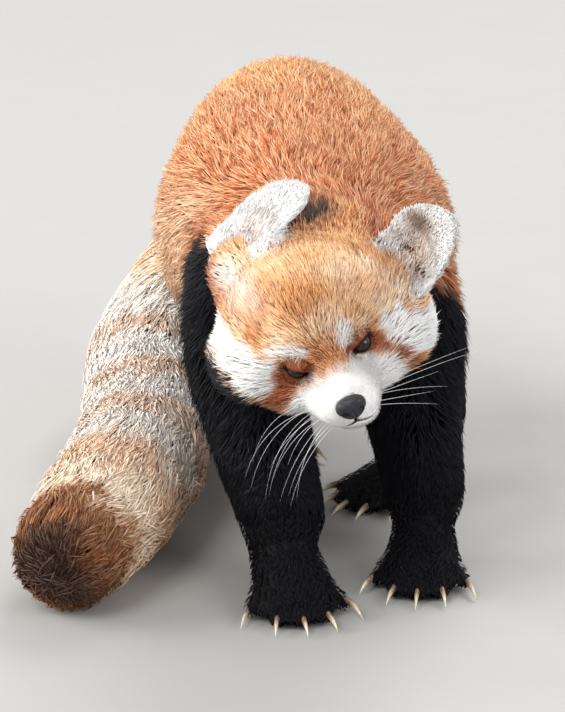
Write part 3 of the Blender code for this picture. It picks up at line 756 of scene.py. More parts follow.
class Web:
    """The edges of a mesh, for spreading numbers over it."""

    def __init__(self, mesh):
        edges = np.empty(len(mesh.edges) * 2, np.int32)
        mesh.edges.foreach_get("vertices", edges)
        edges = edges.reshape(-1, 2)
        self.count = len(mesh.vertices)
        self.start = np.concatenate((edges[:, 0], edges[:, 1]))
        self.end = np.concatenate((edges[:, 1], edges[:, 0]))
        self.links = np.maximum(np.bincount(self.start, minlength=self.count), 1)

    def mean(self, values):
        if values.ndim == 1:
            return np.bincount(self.start, values[self.end], self.count) / self.links
        return np.stack([self.mean(column) for column in values.T], axis=1)

    def spread(self, values, steps, weight=0.6):
        if values.ndim > 1 and not np.isscalar(weight):
            weight = weight[:, None]
        for _ in range(steps):
            values = values + (self.mean(values) - values) * weight
        return values


def select_only(obj):
    bpy.ops.object.select_all(action="DESELECT")
    obj.select_set(True)
    bpy.context.view_layer.objects.active = obj


def region_of(node):
    """The region of the body that a node of flesh belongs to, or None for the rest."""
    for word, region in (("ear_", node), ("claw", None), ("eye_", None), ("nose", None), ("foot", "feet"),
                         ("foreleg", "forelegs"), ("hindleg", "hindlegs"), ("tail", "tail")):
        if word in node:
            return region
    return node


def flesh_nodes():
    return sorted(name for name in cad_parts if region_of(name))


def merged_copy(node):
    """A copy of a node whose loose triangles are joined at their corners."""
    bm = bmesh.new()
    bm.from_mesh(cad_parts[node].data)
    bmesh.ops.remove_doubles(bm, verts=bm.verts, dist=SAME_CORNER)
    bmesh.ops.recalc_face_normals(bm, faces=bm.faces)
    return bm


def joined_flesh():
    """All the flesh as one object, each part swollen a little so that it runs into the next."""
    whole = bpy.data.meshes.new("skin")
    together = bmesh.new()
    regions = []
    for node in flesh_nodes():
        bm = merged_copy(node)
        bm.normal_update()
        for vert in bm.verts:
            vert.co += vert.normal * OVERLAP * CM
        part = bpy.data.meshes.new(node)
        bm.to_mesh(part)
        bm.free()
        before = len(together.faces)
        together.from_mesh(part)
        regions += [REGIONS.index(region_of(node))] * (len(together.faces) - before)
        bpy.data.meshes.remove(part)
    together.to_mesh(whole)
    tree = BVHTree.FromBMesh(together)
    together.free()
    obj = bpy.data.objects.new("skin", whole)
    bpy.context.scene.collection.objects.link(obj)
    return obj, tree, regions


def remeshed(obj):
    select_only(obj)
    step = obj.modifiers.new("even mesh", "REMESH")
    step.mode = "VOXEL"
    step.voxel_size = SKIN_VOXEL * CM
    step.adaptivity = 0
    bpy.ops.object.modifier_apply(modifier=step.name)


def finer_face(obj):
    """Splits the faces of the muzzle and round the eyes, so that the folds have enough points."""
    bm = bmesh.new()
    bm.from_mesh(obj.data)
    for reach in FINER_REACHES:
        face = on_face(own(np.array([v.co for v in bm.verts])))
        near = np.linalg.norm(face - FINER_MIDDLE, axis=1) < reach
        bm.verts.ensure_lookup_table()
        edges = [e for e in bm.edges if near[e.verts[0].index] and near[e.verts[1].index]]
        bmesh.ops.subdivide_edges(bm, edges=edges, cuts=1, use_grid_fill=True)
        bm.verts.index_update()
    bm.to_mesh(obj.data)
    bm.free()


def coat_depths(points, share):
    """The depth of the coat over each point of the skin, in centimetres."""
    face = on_face(own(points))
    fx, fy, fz = face.T
    away = np.linalg.norm(face - NOSE_PLACE, axis=1)
    head = 0.10 + 0.32 * soft(1.6, 5.0, away)
    head = head + 0.50 * soft(3.4, 5.8, np.abs(fx)) * soft(4.5, 1.5, fz) * soft(-3.0, 0.5, fy)
    head = head + 0.55 * soft(4.5, 8.5, fy) + 0.25 * soft(-3.0, -5.0, fz)
    depth = share[:, 0] * head
    for name, value in DEPTHS.items():
        depth += share[:, REGIONS.index(name)] * value
    return depth * bpy.context.scene.panda_sizes.coat_depth


def region_part(share, name):
    return share[:, [REGIONS.index(name)]]


def lie_of_body(here, normals):
    """Back along the trunk and down its sides, and down over the chest and the rump."""
    fall = np.zeros_like(here)
    fall[:, 1] = 1.0
    fall[:, 2] = -0.75 * soft(0.85, 0.1, normals[:, 2]) * soft(-0.95, -0.5, normals[:, 2])
    chest = soft(-0.1, -0.6, normals[:, 1])[:, None]
    fall = fall * (1 - chest) + np.array((0, 0.25, -1.0)) * chest
    rump = (soft(28, 34, here[:, 1]) * soft(0.2, 0.7, normals[:, 1]))[:, None]
    return unit(fall * (1 - rump) + np.array((0, 0.3, -1.0)) * rump)


def lie_of_feet(here):
    """Forwards over each foot and down, spreading out towards the outer toes."""
    best = np.full(len(here), 1e9)
    toes = np.zeros_like(here)
    for x0, y0, x1, y1 in FOOT_LINES:
        away = here[:, :2] - ((x0 + x1) / 2, (y0 + y1) / 2)
        distance = np.linalg.norm(away, axis=1)
        run = unit(np.array((x1 - x0, y1 - y0, 0.0)))
        side = np.cross(run, (0, 0, 1))
        way = run + side * (away @ side[:2] * 0.12)[:, None] + np.array((0, 0, -0.55))
        toes = np.where((distance < best)[:, None], way, toes)
        best = np.minimum(best, distance)
    return unit(toes)


def lie_of_coat(points, normals, share):
    """The way the hair runs at each point."""
    here = own(points)
    lay = region_part(share, "head") * (unit(on_face(here) - NOSE_PLACE - (0, 0.4, 0)) @ FACE_AXES.T)
    for name in EARS:
        axis, facing = unit(np.array(EARS[name][1])), unit(np.array(EARS[name][2]))
        _, across, _ = ear_place(here, name)
        lay += region_part(share, name) * (axis + np.cross(axis, facing) * (across * 0.95)[:, None])
    body = lie_of_body(here, normals)
    ways = {"neck": body, "trunk": body, "forelegs": unit(np.array((0, 0.35, -1.0))),
            "hindlegs": unit(np.array((0, 0.30, -1.0))), "feet": lie_of_feet(here),
            "tail": on_line(here, TAIL_LINE)[1]}
    for name, way in ways.items():
        lay += region_part(share, name) * way
    return lay


def flattened(vectors, normals):
    """The part of each vector that runs along the surface. It is short where the vector stands off it."""
    return vectors - normals * (vectors * normals).sum(1, keepdims=True)


def eye_frame(name):
    """An eyeball's middle, its radius and its own right, forward and up, in the frame."""
    low, high = (np.array(corner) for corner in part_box(name))
    side = 1 if name == "eye_left" else -1
    look = Matrix.Rotation(EYE_TURN * side, 3, "Z") @ Matrix.Rotation(-EYE_DROOP, 3, "X")
    tilt = Matrix.Rotation(math.radians(-side * EYE_OPENINGS[name][3]), 3, "Y")
    axes = FACE_AXES @ np.array(look @ tilt)
    return (low + high) / 2, (high - low).mean() / 2, axes[:, 0], -axes[:, 1], axes[:, 2]


def lid_row(name, turn, tree):
    """One row of a lid's points, from the eyeball over its rim and out into the face, with each one's way
    out from the rim in centimetres, and the direction from the rim."""
    middle, radius, right, forward, up = eye_frame(name)
    wide, above, below, _ = (math.radians(a) for a in EYE_OPENINGS[name])
    side, rise = math.cos(turn), math.sin(turn)
    height = above if rise > 0 else below
    h = wide * side * abs(side) ** 0.12
    v = height * rise * (0.80 + 0.20 * abs(rise))
    ray = unit(right * math.sin(h) + up * math.sin(v) + forward * math.cos(h) * math.cos(v))
    outward = unit(right * side + up * rise * 0.9)
    rim = middle + ray * (radius + LID_RIM * CM)
    goal = middle + outward * LID_REACH * CM + forward * radius * 0.55
    hit, normal, _, _ = tree.ray_cast(Vector(goal + forward * 0.03), Vector(-forward))
    if hit is None:
        hit, normal, _, _ = tree.find_nearest(Vector(goal))
    end = np.array(hit) - np.array(normal) * 0.0006
    leave = unit(outward - ray * (outward @ ray))
    reach = np.linalg.norm(end - rim)
    arrive = unit(end - rim - np.array(normal) * ((end - rim) @ np.array(normal)))
    a, b = rim + leave * reach * 0.35, end - arrive * reach * 0.35
    row = [middle + ray * radius * 0.93, middle + ray * (radius + 0.02 * CM), rim - leave * 0.01 * CM]
    for t in np.arange(LID_STEPS) / (LID_STEPS - 1):
        row.append((1 - t) ** 3 * rim + 3 * t * (1 - t) ** 2 * a + 3 * t * t * (1 - t) * b + t ** 3 * end)
    corner = 0.35 + 0.65 * soft(0.97, 0.85, abs(side))
    reached = [0.0] * 3 + [reach / CM * k / (LID_STEPS - 1) * corner for k in range(LID_STEPS)]
    return row, reached, [unit(end - rim)] * len(row)


def make_lid(name, tree):
    """The lids of one eye: points, triangles, how far out each point is and the way from the rim there."""
    turns = [2 * math.pi * n / LID_ROWS for n in range(LID_ROWS)]
    rows, reached, ways = zip(*(lid_row(name, turn, tree) for turn in turns))
    count = len(rows[0])
    faces = []
    for n in range(LID_ROWS):
        for k in range(count - 1):
            a, b = n * count + k, n * count + k + 1
            c, d = (n + 1) % LID_ROWS * count + k, (n + 1) % LID_ROWS * count + k + 1
            faces += [(a, b, d), (a, d, c)]
    return np.array(rows).reshape(-1, 3), np.array(faces), np.ravel(reached), np.array(ways).reshape(-1, 3)


def carve_face(points, normals):
    """The mouth's line and the dips beside the nose, pressed into the skin."""
    face = on_face(own(points))
    away = from_mouth(face)
    press = 0.13 * np.exp(-(away / 0.10) ** 2)
    lips = 0.05 * np.exp(-((away - 0.26) / 0.14) ** 2)
    side = np.linalg.norm((face - np.array((0.0, -3.3, -1.9))) / (1.25, 0.35, 1.0), axis=1)
    press += 0.05 * np.exp(-((side - 1.0) / 0.2) ** 2)
    return points + normals * ((lips - press) * CM)[:, None]


def taken_in(outer, tris, depth, web, smoothing):
    """The skin's points, taken in from the coat's outline step by step, so that thin parts don't cross."""
    points = outer.copy()
    for _ in range(SHRINK_STEPS):
        normals = web.spread(normals_of(points, tris), 3)
        points = points - unit(normals) * (depth * CM / SHRINK_STEPS)[:, None]
        points = web.spread(points, 2, smoothing)
    return points


def add_lids(mesh, lids):
    bm = bmesh.new()
    bm.from_mesh(mesh)
    for points, faces, _, _ in lids:
        verts = [bm.verts.new(Vector(p)) for p in points]
        for corners in faces:
            bm.faces.new([verts[i] for i in corners])
    bm.to_mesh(mesh)
    bm.free()
    mesh.shade_smooth()


def unwrap(obj):
    select_only(obj)
    bpy.ops.object.mode_set(mode="EDIT")
    bpy.ops.mesh.select_all(action="SELECT")
    bpy.ops.uv.smart_project(angle_limit=math.radians(66), island_margin=0.001)
    bpy.ops.object.mode_set(mode="OBJECT")


def mark_skin(mesh, points, normals, share, reached):
    """Puts the markings on the skin, with dark lips and dark rims on brown lids."""
    marks = markings(own(points), normals, share)
    lip = soft(0.16, 0.07, from_mouth(on_face(own(points))))
    rims = soft(LID_DARK + 0.07, LID_DARK, reached)
    marks["snow"] *= (1 - lip) * (1 - rims)
    on_lid = reached < NOT_A_LID
    marks["deep"] = np.where(on_lid, 0.75, marks["deep"])
    marks["gold"] = np.where(on_lid, 0.6, marks["gold"])
    marks["night"] = np.where(on_lid, np.maximum(marks["night"], 0.32), marks["night"])
    marks["night"] = np.maximum(marks["night"], np.maximum(lip, rims))
    for name, values in marks.items():
        give_field(mesh, name, values)


class PANDA_OT_skin(bpy.types.Operator):
    """Makes the one skin that covers all the flesh, with its folds, lids and markings"""
    bl_idname = "panda.skin"
    bl_label = "Skin"

    def execute(self, context):
        obj, tree, regions = joined_flesh()
        remeshed(obj)
        finer_face(obj)
        mesh = obj.data
        outer = points_of(mesh)
        web = Web(mesh)
        tris, _ = triangles_of(mesh)
        nearest = [tree.find_nearest(Vector(point))[2] for point in outer]
        sharp = np.eye(len(REGIONS))[np.array(regions)[nearest]]
        crisp, share = web.spread(sharp, 5), web.spread(sharp, 22)
        depth = web.spread(coat_depths(outer, share), 20)
        smoothing = 0.10 + 0.4 * np.clip(share @ [LOOSE_SKIN.get(name, 0.0) for name in REGIONS], 0, 1)
        from_nose = np.linalg.norm(on_face(own(outer)) - NOSE_PLACE, axis=1)
        smoothing *= 1 - 0.8 * soft(5.0, 3.0, from_nose)
        inner = taken_in(outer, tris, depth, web, smoothing)
        inner = carve_face(inner, normals_of(inner, tris))
        normals = normals_of(inner, tris)
        lay = web.spread(flattened(lie_of_coat(outer, normals, share), normals), 30)
        lay = flattened(lay, normals) * 1.15
        lay /= np.maximum(np.linalg.norm(lay, axis=1, keepdims=True), 1)
        skin_tree = BVHTree.FromPolygons([Vector(p) for p in inner], tris.tolist())
        outline = BVHTree.FromPolygons([Vector(p) for p in outer], tris.tolist())
        mesh.vertices.foreach_set("co", inner.astype(np.float32).ravel())
        mesh.update()
        lids = [make_lid(name, skin_tree) for name in EYE_OPENINGS]
        add_lids(mesh, lids)
        unwrap(obj)
        points = points_of(mesh)
        tris, corners = triangles_of(mesh)
        normals = normals_of(points, tris)
        head_only = np.eye(len(REGIONS))[[0] * (len(points) - len(inner))]
        share = np.concatenate((crisp, head_only))
        reached = np.concatenate([np.full(len(inner), NOT_A_LID)] + [lid[2] for lid in lids])
        mark_skin(mesh, points, normals, share, reached)
        mesh.materials.append(coat_finish("skin", True))
        settle(obj, flesh_nodes())
        uv = np.empty(len(mesh.loops) * 2, np.float32)
        mesh.uv_layers.active.data.foreach_get("uv", uv)
        haired = (reached[tris] > LID_DARK).all(1)
        room = np.array([outline.find_nearest(Vector(p))[3] for p in inner]) / CM - OVERLAP
        from_rims = flattened(np.concatenate([lid[3] for lid in lids]), normals[len(inner):])
        depth = np.concatenate((web.spread(np.maximum(room, 0.06), 3), np.full(len(from_rims), LID_COAT)))
        work.update(points=points, normals=normals, tris=tris[haired], share=share, depth=depth,
                    uv=uv.reshape(-1, 2)[corners[haired]], lay=np.concatenate((lay, from_rims)),
                    tree=skin_tree, outline=outline)
        return {"FINISHED"}


# The coat

# A kind of tuft: where it grows, how many there are, how far one reaches for the coat's depth, its half
# width, the depth past which it gets no longer, how many bunch together, how far they stray and how many
# pieces they make. A short tuft is straight. A free one may reach past the edge of the skin. flat is the
# height of a bend for the coat's depth, and uneven the spread of the tufts' heights.
Kind = namedtuple("Kind", "name weight count reach half deepest bunch stray pieces short free flat uneven",
                  defaults=(1, False, False, 0.7, 0.13))


def region_weight(*names):
    return lambda face, share: sum(region_part(share, name) for name in names).ravel()


def front_of_head(face):
    """1 on the face, where the hair is short, and 0 on the cheeks, the nape and the throat."""
    return (soft(4.6, 3.8, np.abs(face[:, 0])) * soft(5.2, 3.8, face[:, 1])
            * soft(-4.6, -3.6, face[:, 2]))


def face_weight(face, share):
    closer = 1 + 1.6 * soft(4.6, 2.6, np.linalg.norm(face - NOSE_PLACE, axis=1))
    return share[:, 0] * front_of_head(face) * closer * soft(0.07, 0.17, from_mouth(face))


def ruff_weight(face, share):
    return share[:, 0] * (1 - front_of_head(face))


def fringe_weight(face, share):
    """The long hair near the root of each ear and on the head just before it."""
    ears = region_weight(*EARS)(face, share)
    return soft(0.06, 0.3, ears) * soft(1.0, 0.8, ears) + 0.15 * ears


def kinds():
    return (
        Kind("trunk", region_weight("trunk"), 80000, 1.95, 0.061, 1.6, 5, 0.22, pieces=3),
        Kind("neck", region_weight("neck"), 14000, 2.0, 0.057, 1.4, 5, 0.22),
        Kind("tail", region_weight("tail"), 52000, 2.2, 0.072, 1.6, 5, 0.15, 2, flat=0.92, uneven=0.06),
        Kind("forelegs", region_weight("forelegs"), 20000, 2.3, 0.054, 0.95, 5, 0.18),
        Kind("hindlegs", region_weight("hindlegs"), 11000, 2.3, 0.060, 1.0, 5, 0.18),
        Kind("ruff", ruff_weight, 24000, 2.0, 0.043, 1.0, 5, 0.2),
        Kind("face", face_weight, 40000, 2.2, 0.026, 0.5, 4, 0.14, short=True),
        Kind("ears", region_weight(*EARS), 14000, 4.6, 0.036, 0.3, 6, 0.13, free=True),
        Kind("ear_fringe", fringe_weight, 3000, 5.0, 0.036, 0.3, 6, 0.22, free=True),
        Kind("feet", region_weight("feet"), 11000, 2.4, 0.046, 0.55, 4, 0.2),
    )


def roots_for(kind, rng):
    """Roots spread evenly by area over the kind's part of the skin: triangle numbers and corner shares."""
    points, tris = work["points"], work["tris"]
    weight = kind.weight(on_face(own(points)), work["share"])[tris].mean(1)
    one, two, three = (points[tris[:, corner]] for corner in range(3))
    total = np.cumsum(np.linalg.norm(np.cross(two - one, three - one), axis=1) * weight)
    count = int(kind.count * bpy.context.scene.panda_sizes.coat_fullness)
    at = (np.arange(count) + rng.uniform(0, 1, count)) / count * total[-1]
    a, b = rng.uniform(0, 1, count), rng.uniform(0, 1, count)
    flip = a + b > 1
    a[flip], b[flip] = 1 - a[flip], 1 - b[flip]
    return np.searchsorted(total, at), np.stack((1 - a - b, a, b), axis=1)


def over_skin(places):
    """The nearest places on the skin, the outward directions there and the faces' numbers."""
    place, normal, face, _ = zip(*(work["tree"].find_nearest(Vector(p)) for p in places))
    return np.array(place), np.array(normal), np.array(face)


def room_over(places, ways, most):
    """How far off the coat's outline is from places on the skin."""
    found = [work["outline"].ray_cast(Vector(p), Vector(w))[3] for p, w in zip(places, ways)]
    room = np.array([np.nan if f is None else f for f in found]) - OVERLAP * CM
    return np.where(np.isfinite(room), np.clip(room, 0.0004, most), most)


def bunched(tips, rng, size):
    """For each tip, the middle tip of the bunch that it belongs to."""
    leaders = rng.permutation(len(tips))[:max(1, len(tips) // size)]
    tree = KDTree(len(leaders))
    for i in leaders:
        tree.insert(Vector(tips[i]), int(i))
    tree.balance()
    return np.array([tree.find(Vector(p))[1] for p in tips])


def along_skin(kind, root, lay, length, depth, rise):
    """Tufts that follow the skin: their bends and tips, and what the skin is like under each tip."""
    middle = None
    base, up, face = over_skin(root + lay * (length if kind.short else length * 0.5)[:, None])
    if not kind.short:
        room = np.minimum(room_over(base, up, depth * 1.5), depth)
        middle = base + up * (room * kind.flat * rise)[:, None]
        base, up, face = over_skin(base + lay * (length * 0.5)[:, None])
    return middle, base + up * (room_over(base, up, depth * 1.5) * rise)[:, None], up, face


def tuft_paths(kind, rng):
    """Where each tuft starts, bends and ends, which way is up on it, its markings and its patch's place."""
    chosen, share = roots_for(kind, rng)
    corners = work["tris"][chosen]

    def at_root(values):
        return (values[corners] * (share[..., None] if values.ndim == 2 else share)).sum(1)

    root, normal = at_root(work["points"]), unit(at_root(work["normals"]))
    lay = flattened(at_root(work["lay"]), normal)
    depth = np.minimum(at_root(work["depth"]) * CM, kind.deepest * CM)
    count = len(root)
    stray = rng.normal(0, kind.stray, count) + (ripple(own(root), 4.0, 11) - 0.5) * 0.7
    lay = lay + np.cross(lay, normal) * stray[:, None]
    length = depth * kind.reach * rng.uniform(0.75, 1.2, count)
    rise = np.clip(rng.normal(0.92, kind.uneven, count), 0.5, 1.12)
    rise += 0.25 * (rng.uniform(0, 1, count) > 0.96)
    if kind.free:
        _, up, face = over_skin(root)
        tip = root + lay * length[:, None] + normal * (length * 0.16 * rise)[:, None]
        middle = root + lay * (length * 0.45)[:, None] + normal * (length * 0.15 * rise)[:, None]
    else:
        middle, tip, up, face = along_skin(kind, root, lay, length, depth, rise)
    gap = tip[bunched(tip, rng, kind.bunch)] - tip
    pull = rng.uniform(0.15, 0.55, count) * (np.linalg.norm(gap, axis=1) < length * 0.5)
    tip = tip + gap * pull[:, None]
    tip[:, 2] = np.maximum(tip[:, 2], LOWEST_TIP)
    if middle is not None:
        middle = middle + gap * pull[:, None] * 0.3
        middle[:, 2] = np.maximum(middle[:, 2], LOWEST_BEND)
    uv = (work["uv"][chosen] * share[..., None]).sum(1)
    shown = root + (tip - root) * SEEN_AT + rng.normal(0, 0.0010, root.shape)
    marks = markings(own(shown), up, work["share"][work["tris"][face, 0]])
    return root, middle, tip, normal, marks, uv


# How each tuft is made of points about its root, bend and tip: how far out they are, their places on the
# tuft's patch, and its faces
SHORT_TUFT = ([0.1] * 3 + [1.0],
              [(0.0, 0.0), (0.5, -0.08), (1.0, 0.0), (0.5, 1.0)],
              [(0, 2, 1), (0, 1, 3), (1, 2, 3), (2, 0, 3)])
LONG_TUFT = ([0.0] + [0.55] * 3 + [1.0],
             [(0.5, 0.0), (0.0, 0.5), (0.5, 0.4), (1.0, 0.5), (0.5, 1.0)],
             [(0, 2, 1), (0, 3, 2), (0, 1, 3), (1, 2, 4), (2, 3, 4), (3, 1, 4)])


def tuft_points(kind, root, middle, tip, normal, rng):
    """The points of each tuft, with a three-sided ring at its bend or, on a short one, at its root."""
    half = kind.half * CM * bpy.context.scene.panda_sizes.tuft_width * rng.uniform(0.7, 1.3, len(root))
    half = half[:, None]
    run = unit((tip if middle is None else middle) - root)
    sideways = unit(np.cross(run, normal))
    sunk = root - normal * ROOT_SUNK
    at = sunk if middle is None else middle
    ring = [at - sideways * half, at + np.cross(sideways, run) * (half * 0.7), at + sideways * half]
    return np.stack(ring + [tip] if middle is None else [sunk] + ring + [tip], axis=1)


def grow(kind, finish):
    """Grows one kind of tuft, as one piece or as a few from front to back."""
    rng = np.random.default_rng(SEED + len(kind.name) * 31 + ord(kind.name[0]))
    root, middle, tip, normal, marks, uv = tuft_paths(kind, rng)
    lifts, patch, shape = SHORT_TUFT if kind.short else LONG_TUFT
    points = tuft_points(kind, root, middle, tip, normal, rng)
    odd = rng.uniform(0, 1, len(points))
    size = len(lifts)
    for number, chosen in enumerate(np.array_split(np.argsort(points[:, 0, 1]), kind.pieces), 1):
        count = len(chosen)
        tris = (np.array(shape) + (np.arange(count) * size)[:, None, None]).reshape(-1, 3)
        name = f"coat_{kind.name}" + (f"_{number}" if kind.pieces > 1 else "")
        mesh = mesh_of(name, points[chosen].reshape(-1, 3), tris)
        for field, values in marks.items():
            give_field(mesh, field, np.repeat(values[chosen], size))
        give_field(mesh, "lift", np.tile(lifts, count))
        give_field(mesh, "odd", np.repeat(odd[chosen], size))
        places = uv[chosen][:, None] + (np.array(patch) - 0.5) * PATCH_SIZE
        layer = mesh.uv_layers.new(name="OFBake")
        layer.data.foreach_set("uv", places.reshape(-1, 2)[tris.ravel()].astype(np.float32).ravel())
        placed(name, mesh, finish)


class CoatStep:
    """Grows the kinds of tuft named in grows, all with the one finish of the coat."""

    def execute(self, context):
        work["finish"] = work.get("finish") or coat_finish("coat", False)
        for kind in kinds():
            if kind.name in self.grows:
                grow(kind, work["finish"])
        return {"FINISHED"}


class PANDA_OT_body_coat(CoatStep, bpy.types.Operator):
    """Grows the long coat of the trunk and the neck"""
    bl_idname = "panda.body_coat"
    bl_label = "Body Coat"
    grows = ("trunk", "neck")


class PANDA_OT_tail_coat(CoatStep, bpy.types.Operator):
    """Grows the bushy coat of the tail"""
    bl_idname = "panda.tail_coat"
    bl_label = "Tail Coat"
    grows = ("tail",)


class PANDA_OT_leg_coat(CoatStep, bpy.types.Operator):
    """Grows the coat of the legs and the feet"""
    bl_idname = "panda.leg_coat"
    bl_label = "Leg Coat"
    grows = ("forelegs", "hindlegs", "feet")


class PANDA_OT_head_coat(CoatStep, bpy.types.Operator):
    """Grows the short coat of the face, the ruff of the cheeks and the coat of the ears"""
    bl_idname = "panda.head_coat"
    bl_label = "Head Coat"
    grows = ("ruff", "face", "ears", "ear_fringe")


# Eyes, nose, claws and whiskers

def ball(name, segments, rings):
    """A new ball of radius 1 at the origin, with nothing else selected."""
    bpy.ops.object.select_all(action="DESELECT")
    bpy.ops.mesh.primitive_uv_sphere_add(segments=segments, ring_count=rings, radius=1)
    obj = bpy.context.object
    obj.name = name
    obj.data.name = name
    bpy.ops.object.shade_smooth()
    return obj


def turn_outwards(mesh):
    bm = bmesh.new()
    bm.from_mesh(mesh)
    bmesh.ops.recalc_face_normals(bm, faces=bm.faces)
    bm.to_mesh(mesh)
    bm.free()


def reshape(obj, points, finish):
    """Moves a ball's points and gives it its finish."""
    obj.data.vertices.foreach_set("co", points.astype(np.float32).ravel())
    turn_outwards(obj.data)
    obj.data.materials.append(finish)


class PANDA_OT_eyes(bpy.types.Operator):
    """Makes the two eyes, each with its bulging cornea, iris and pupil"""
    bl_idname = "panda.eyes"
    bl_label = "Eyes"

    def execute(self, context):
        finish = eye_finish()
        for name in EYE_OPENINGS:
            middle, radius, right, forward, up = eye_frame(name)
            obj = ball(name + "_ball", 64, 48)
            ways = points_of(obj.data)
            angle = np.arccos(np.clip(ways[:, 2], -1, 1))
            bulge = 1 + CORNEA_BULGE * soft(0.75, 0.2, angle)
            ways = (ways * (radius * bulge)[:, None]) @ np.stack((right, up, forward))
            reshape(obj, middle + ways, finish)
            give_field(obj.data, "ring", angle / IRIS_REACH)
            settle(obj, [name])
        return {"FINISHED"}


class PANDA_OT_nose(bpy.types.Operator):
    """Shapes the nose pad, with its nostrils and the groove down its middle"""
    bl_idname = "panda.nose"
    bl_label = "Nose"

    def execute(self, context):
        obj = ball("nose_pad", 96, 64)
        ways = points_of(obj.data)[:, [0, 2, 1]] * (1, -1, 1)
        x, y, z = ways.T
        shape = np.sign(ways) * np.abs(ways) ** 0.9 * NOSE_HALF
        shape[:, 0] *= 1 + 0.14 * soft(-0.6, 0.8, z) - 0.22 * soft(0.1, -1.0, z)
        ahead = soft(0.2, -0.5, y)
        for side in (-1, 1):
            hole = np.hypot((x - side * 0.50) / 0.24, (z + 0.16) / 0.26)
            slit = np.hypot((x - side * 0.80) / 0.26, (z + 0.30) / 0.12)
            shape[:, 1] += 0.26 * ahead * soft(1.2, 0.35, hole) + 0.16 * ahead * soft(1.2, 0.4, slit)
        shape[:, 1] += 0.07 * ahead * np.exp(-(x / 0.07) ** 2) * soft(0.35, -0.1, z)
        shape[:, 1] -= 0.05 * ahead * soft(0.2, 0.8, z)
        reshape(obj, framed(from_face(shape + NOSE_PLACE)), nose_finish())
        settle(obj, ["nose"])
        return {"FINISHED"}


def tube(path, widths, heights, up, sides):
    """A closed tube along a path: points, triangles and how far along each point is."""
    path = np.array(path)
    turns = (np.arange(sides) * 2 * math.pi / sides)[:, None]
    rows = []
    for point, run, wide, high in zip(path, unit(np.gradient(path, axis=0)), widths, heights):
        across = unit(np.cross(run, up))
        rows.append(point + np.cos(turns) * across * wide + np.sin(turns) * np.cross(across, run) * high)
    count = len(path)
    points = np.concatenate(rows + [path[:1], path[-1:]])
    faces = []
    for k in range(sides):
        beside = (k + 1) % sides
        for start in range(0, (count - 1) * sides, sides):
            a, b = start + k, start + beside
            faces += [(a, a + sides, b + sides), (a, b + sides, b)]
        last = (count - 1) * sides
        faces += [(count * sides, k, beside), (count * sides + 1, last + beside, last + k)]
    return points, np.array(faces), np.concatenate((np.repeat(np.linspace(0, 1, count), sides), (0, 1)))


def joined(name, parts, finish, replaced=()):
    """Several tubes as one piece, with how far along each point is."""
    starts = np.cumsum([0] + [len(points) for points, _, _ in parts])
    points, faces, along = zip(*parts)
    mesh = mesh_of(name, np.concatenate(points), np.concatenate([f + s for f, s in zip(faces, starts)]))
    give_field(mesh, "along", np.concatenate(along))
    turn_outwards(mesh)
    placed(name, mesh, finish, replaced)


def claw_tube(node, foot_middle):
    """A curved, pointed claw from inside the toe to the tip of the solid claw."""
    co = points_of(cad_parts[node].data)
    middle = co.mean(0)
    run = unit(np.linalg.svd(co - middle)[2][0])
    if (middle - foot_middle) @ run < 0:
        run = -run
    ahead = (co - middle) @ run
    tip = co[ahead > ahead.max() - 0.0008].mean(0)
    root = co[ahead < ahead.min() + 0.0012].mean(0)
    start = root - run * bpy.context.scene.panda_sizes.claw_sheath + UP * CLAW_LIFT
    t = np.linspace(0, 1, CLAW_STEPS)
    path = start + (tip - start) * t[:, None]
    path[:, 2] += CLAW_ARCH * np.linalg.norm(tip - start) * 4 * t * (1 - t) * (0.6 + 0.4 * t)
    slim = (1 - t ** 1.7) * 0.97 + 0.03
    return tube(path, CLAW_HALF_WIDTH * CM * slim, CLAW_HALF_HEIGHT * CM * slim, UP, 14)


class PANDA_OT_claws(bpy.types.Operator):
    """Makes the five curved claws of each foot"""
    bl_idname = "panda.claws"
    bl_label = "Claws"

    def execute(self, context):
        finish = horn_finish()
        for foot in ("forefoot_left", "forefoot_right", "hindfoot_left", "hindfoot_right"):
            claws = [foot.replace("foot", "claw") + f"_{n}" for n in range(1, 6)]
            middle = np.mean(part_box(foot), axis=0)
            parts = [claw_tube(claw, middle) for claw in claws]
            joined(foot.replace("foot", "claws"), parts, finish, claws)
        return {"FINISHED"}


def whisker(side, row, n, rng):
    """One whisker, in that row of its side and that many places back from the nose."""
    sizes = bpy.context.scene.panda_sizes
    start = (side * (1.35 + 0.5 * n), -2.9 + 0.7 * n, -2.1 - 0.36 * row + 0.12 * n)
    root = own(over_skin([framed(from_face(start))])[0][0])
    out = np.array((side * 1.0, -0.2 + 0.3 * n, 0.10 - 0.16 * row)) @ FACE_AXES.T
    out = unit(out + rng.normal(0, 0.10, 3))
    length = sizes.whisker_length / CM * rng.uniform(0.6, 1.0) * (1 if n > 0 else 0.75)
    fall = rng.uniform(*WHISKER_FALL[side])
    t = np.linspace(0, 1, WHISKER_STEPS)[:, None]
    path = root - out * 0.1 + out * length * t * (1 - 0.62 * fall * t)
    path += (np.array((0, 0.08, 0)) * t * t - UP * fall * t ** 1.8) * length
    widths = sizes.whisker_width / 2 * (1 - t.ravel() ** 1.3 * 0.88)
    return tube(framed(path), widths, widths, np.array((0.1, 0.1, 1.0)), 5)


class PANDA_OT_whiskers(bpy.types.Operator):
    """Makes the long whiskers of the muzzle"""
    bl_idname = "panda.whiskers"
    bl_label = "Whiskers"

    def execute(self, context):
        rng = np.random.default_rng(SEED)
        parts = [whisker(side, row, n, rng)
                 for side, rows in WHISKER_ROWS.items() for row in range(rows) for n in range(3)]
        joined("whiskers", parts, whisker_finish())
        return {"FINISHED"}


# Floor, lights and camera

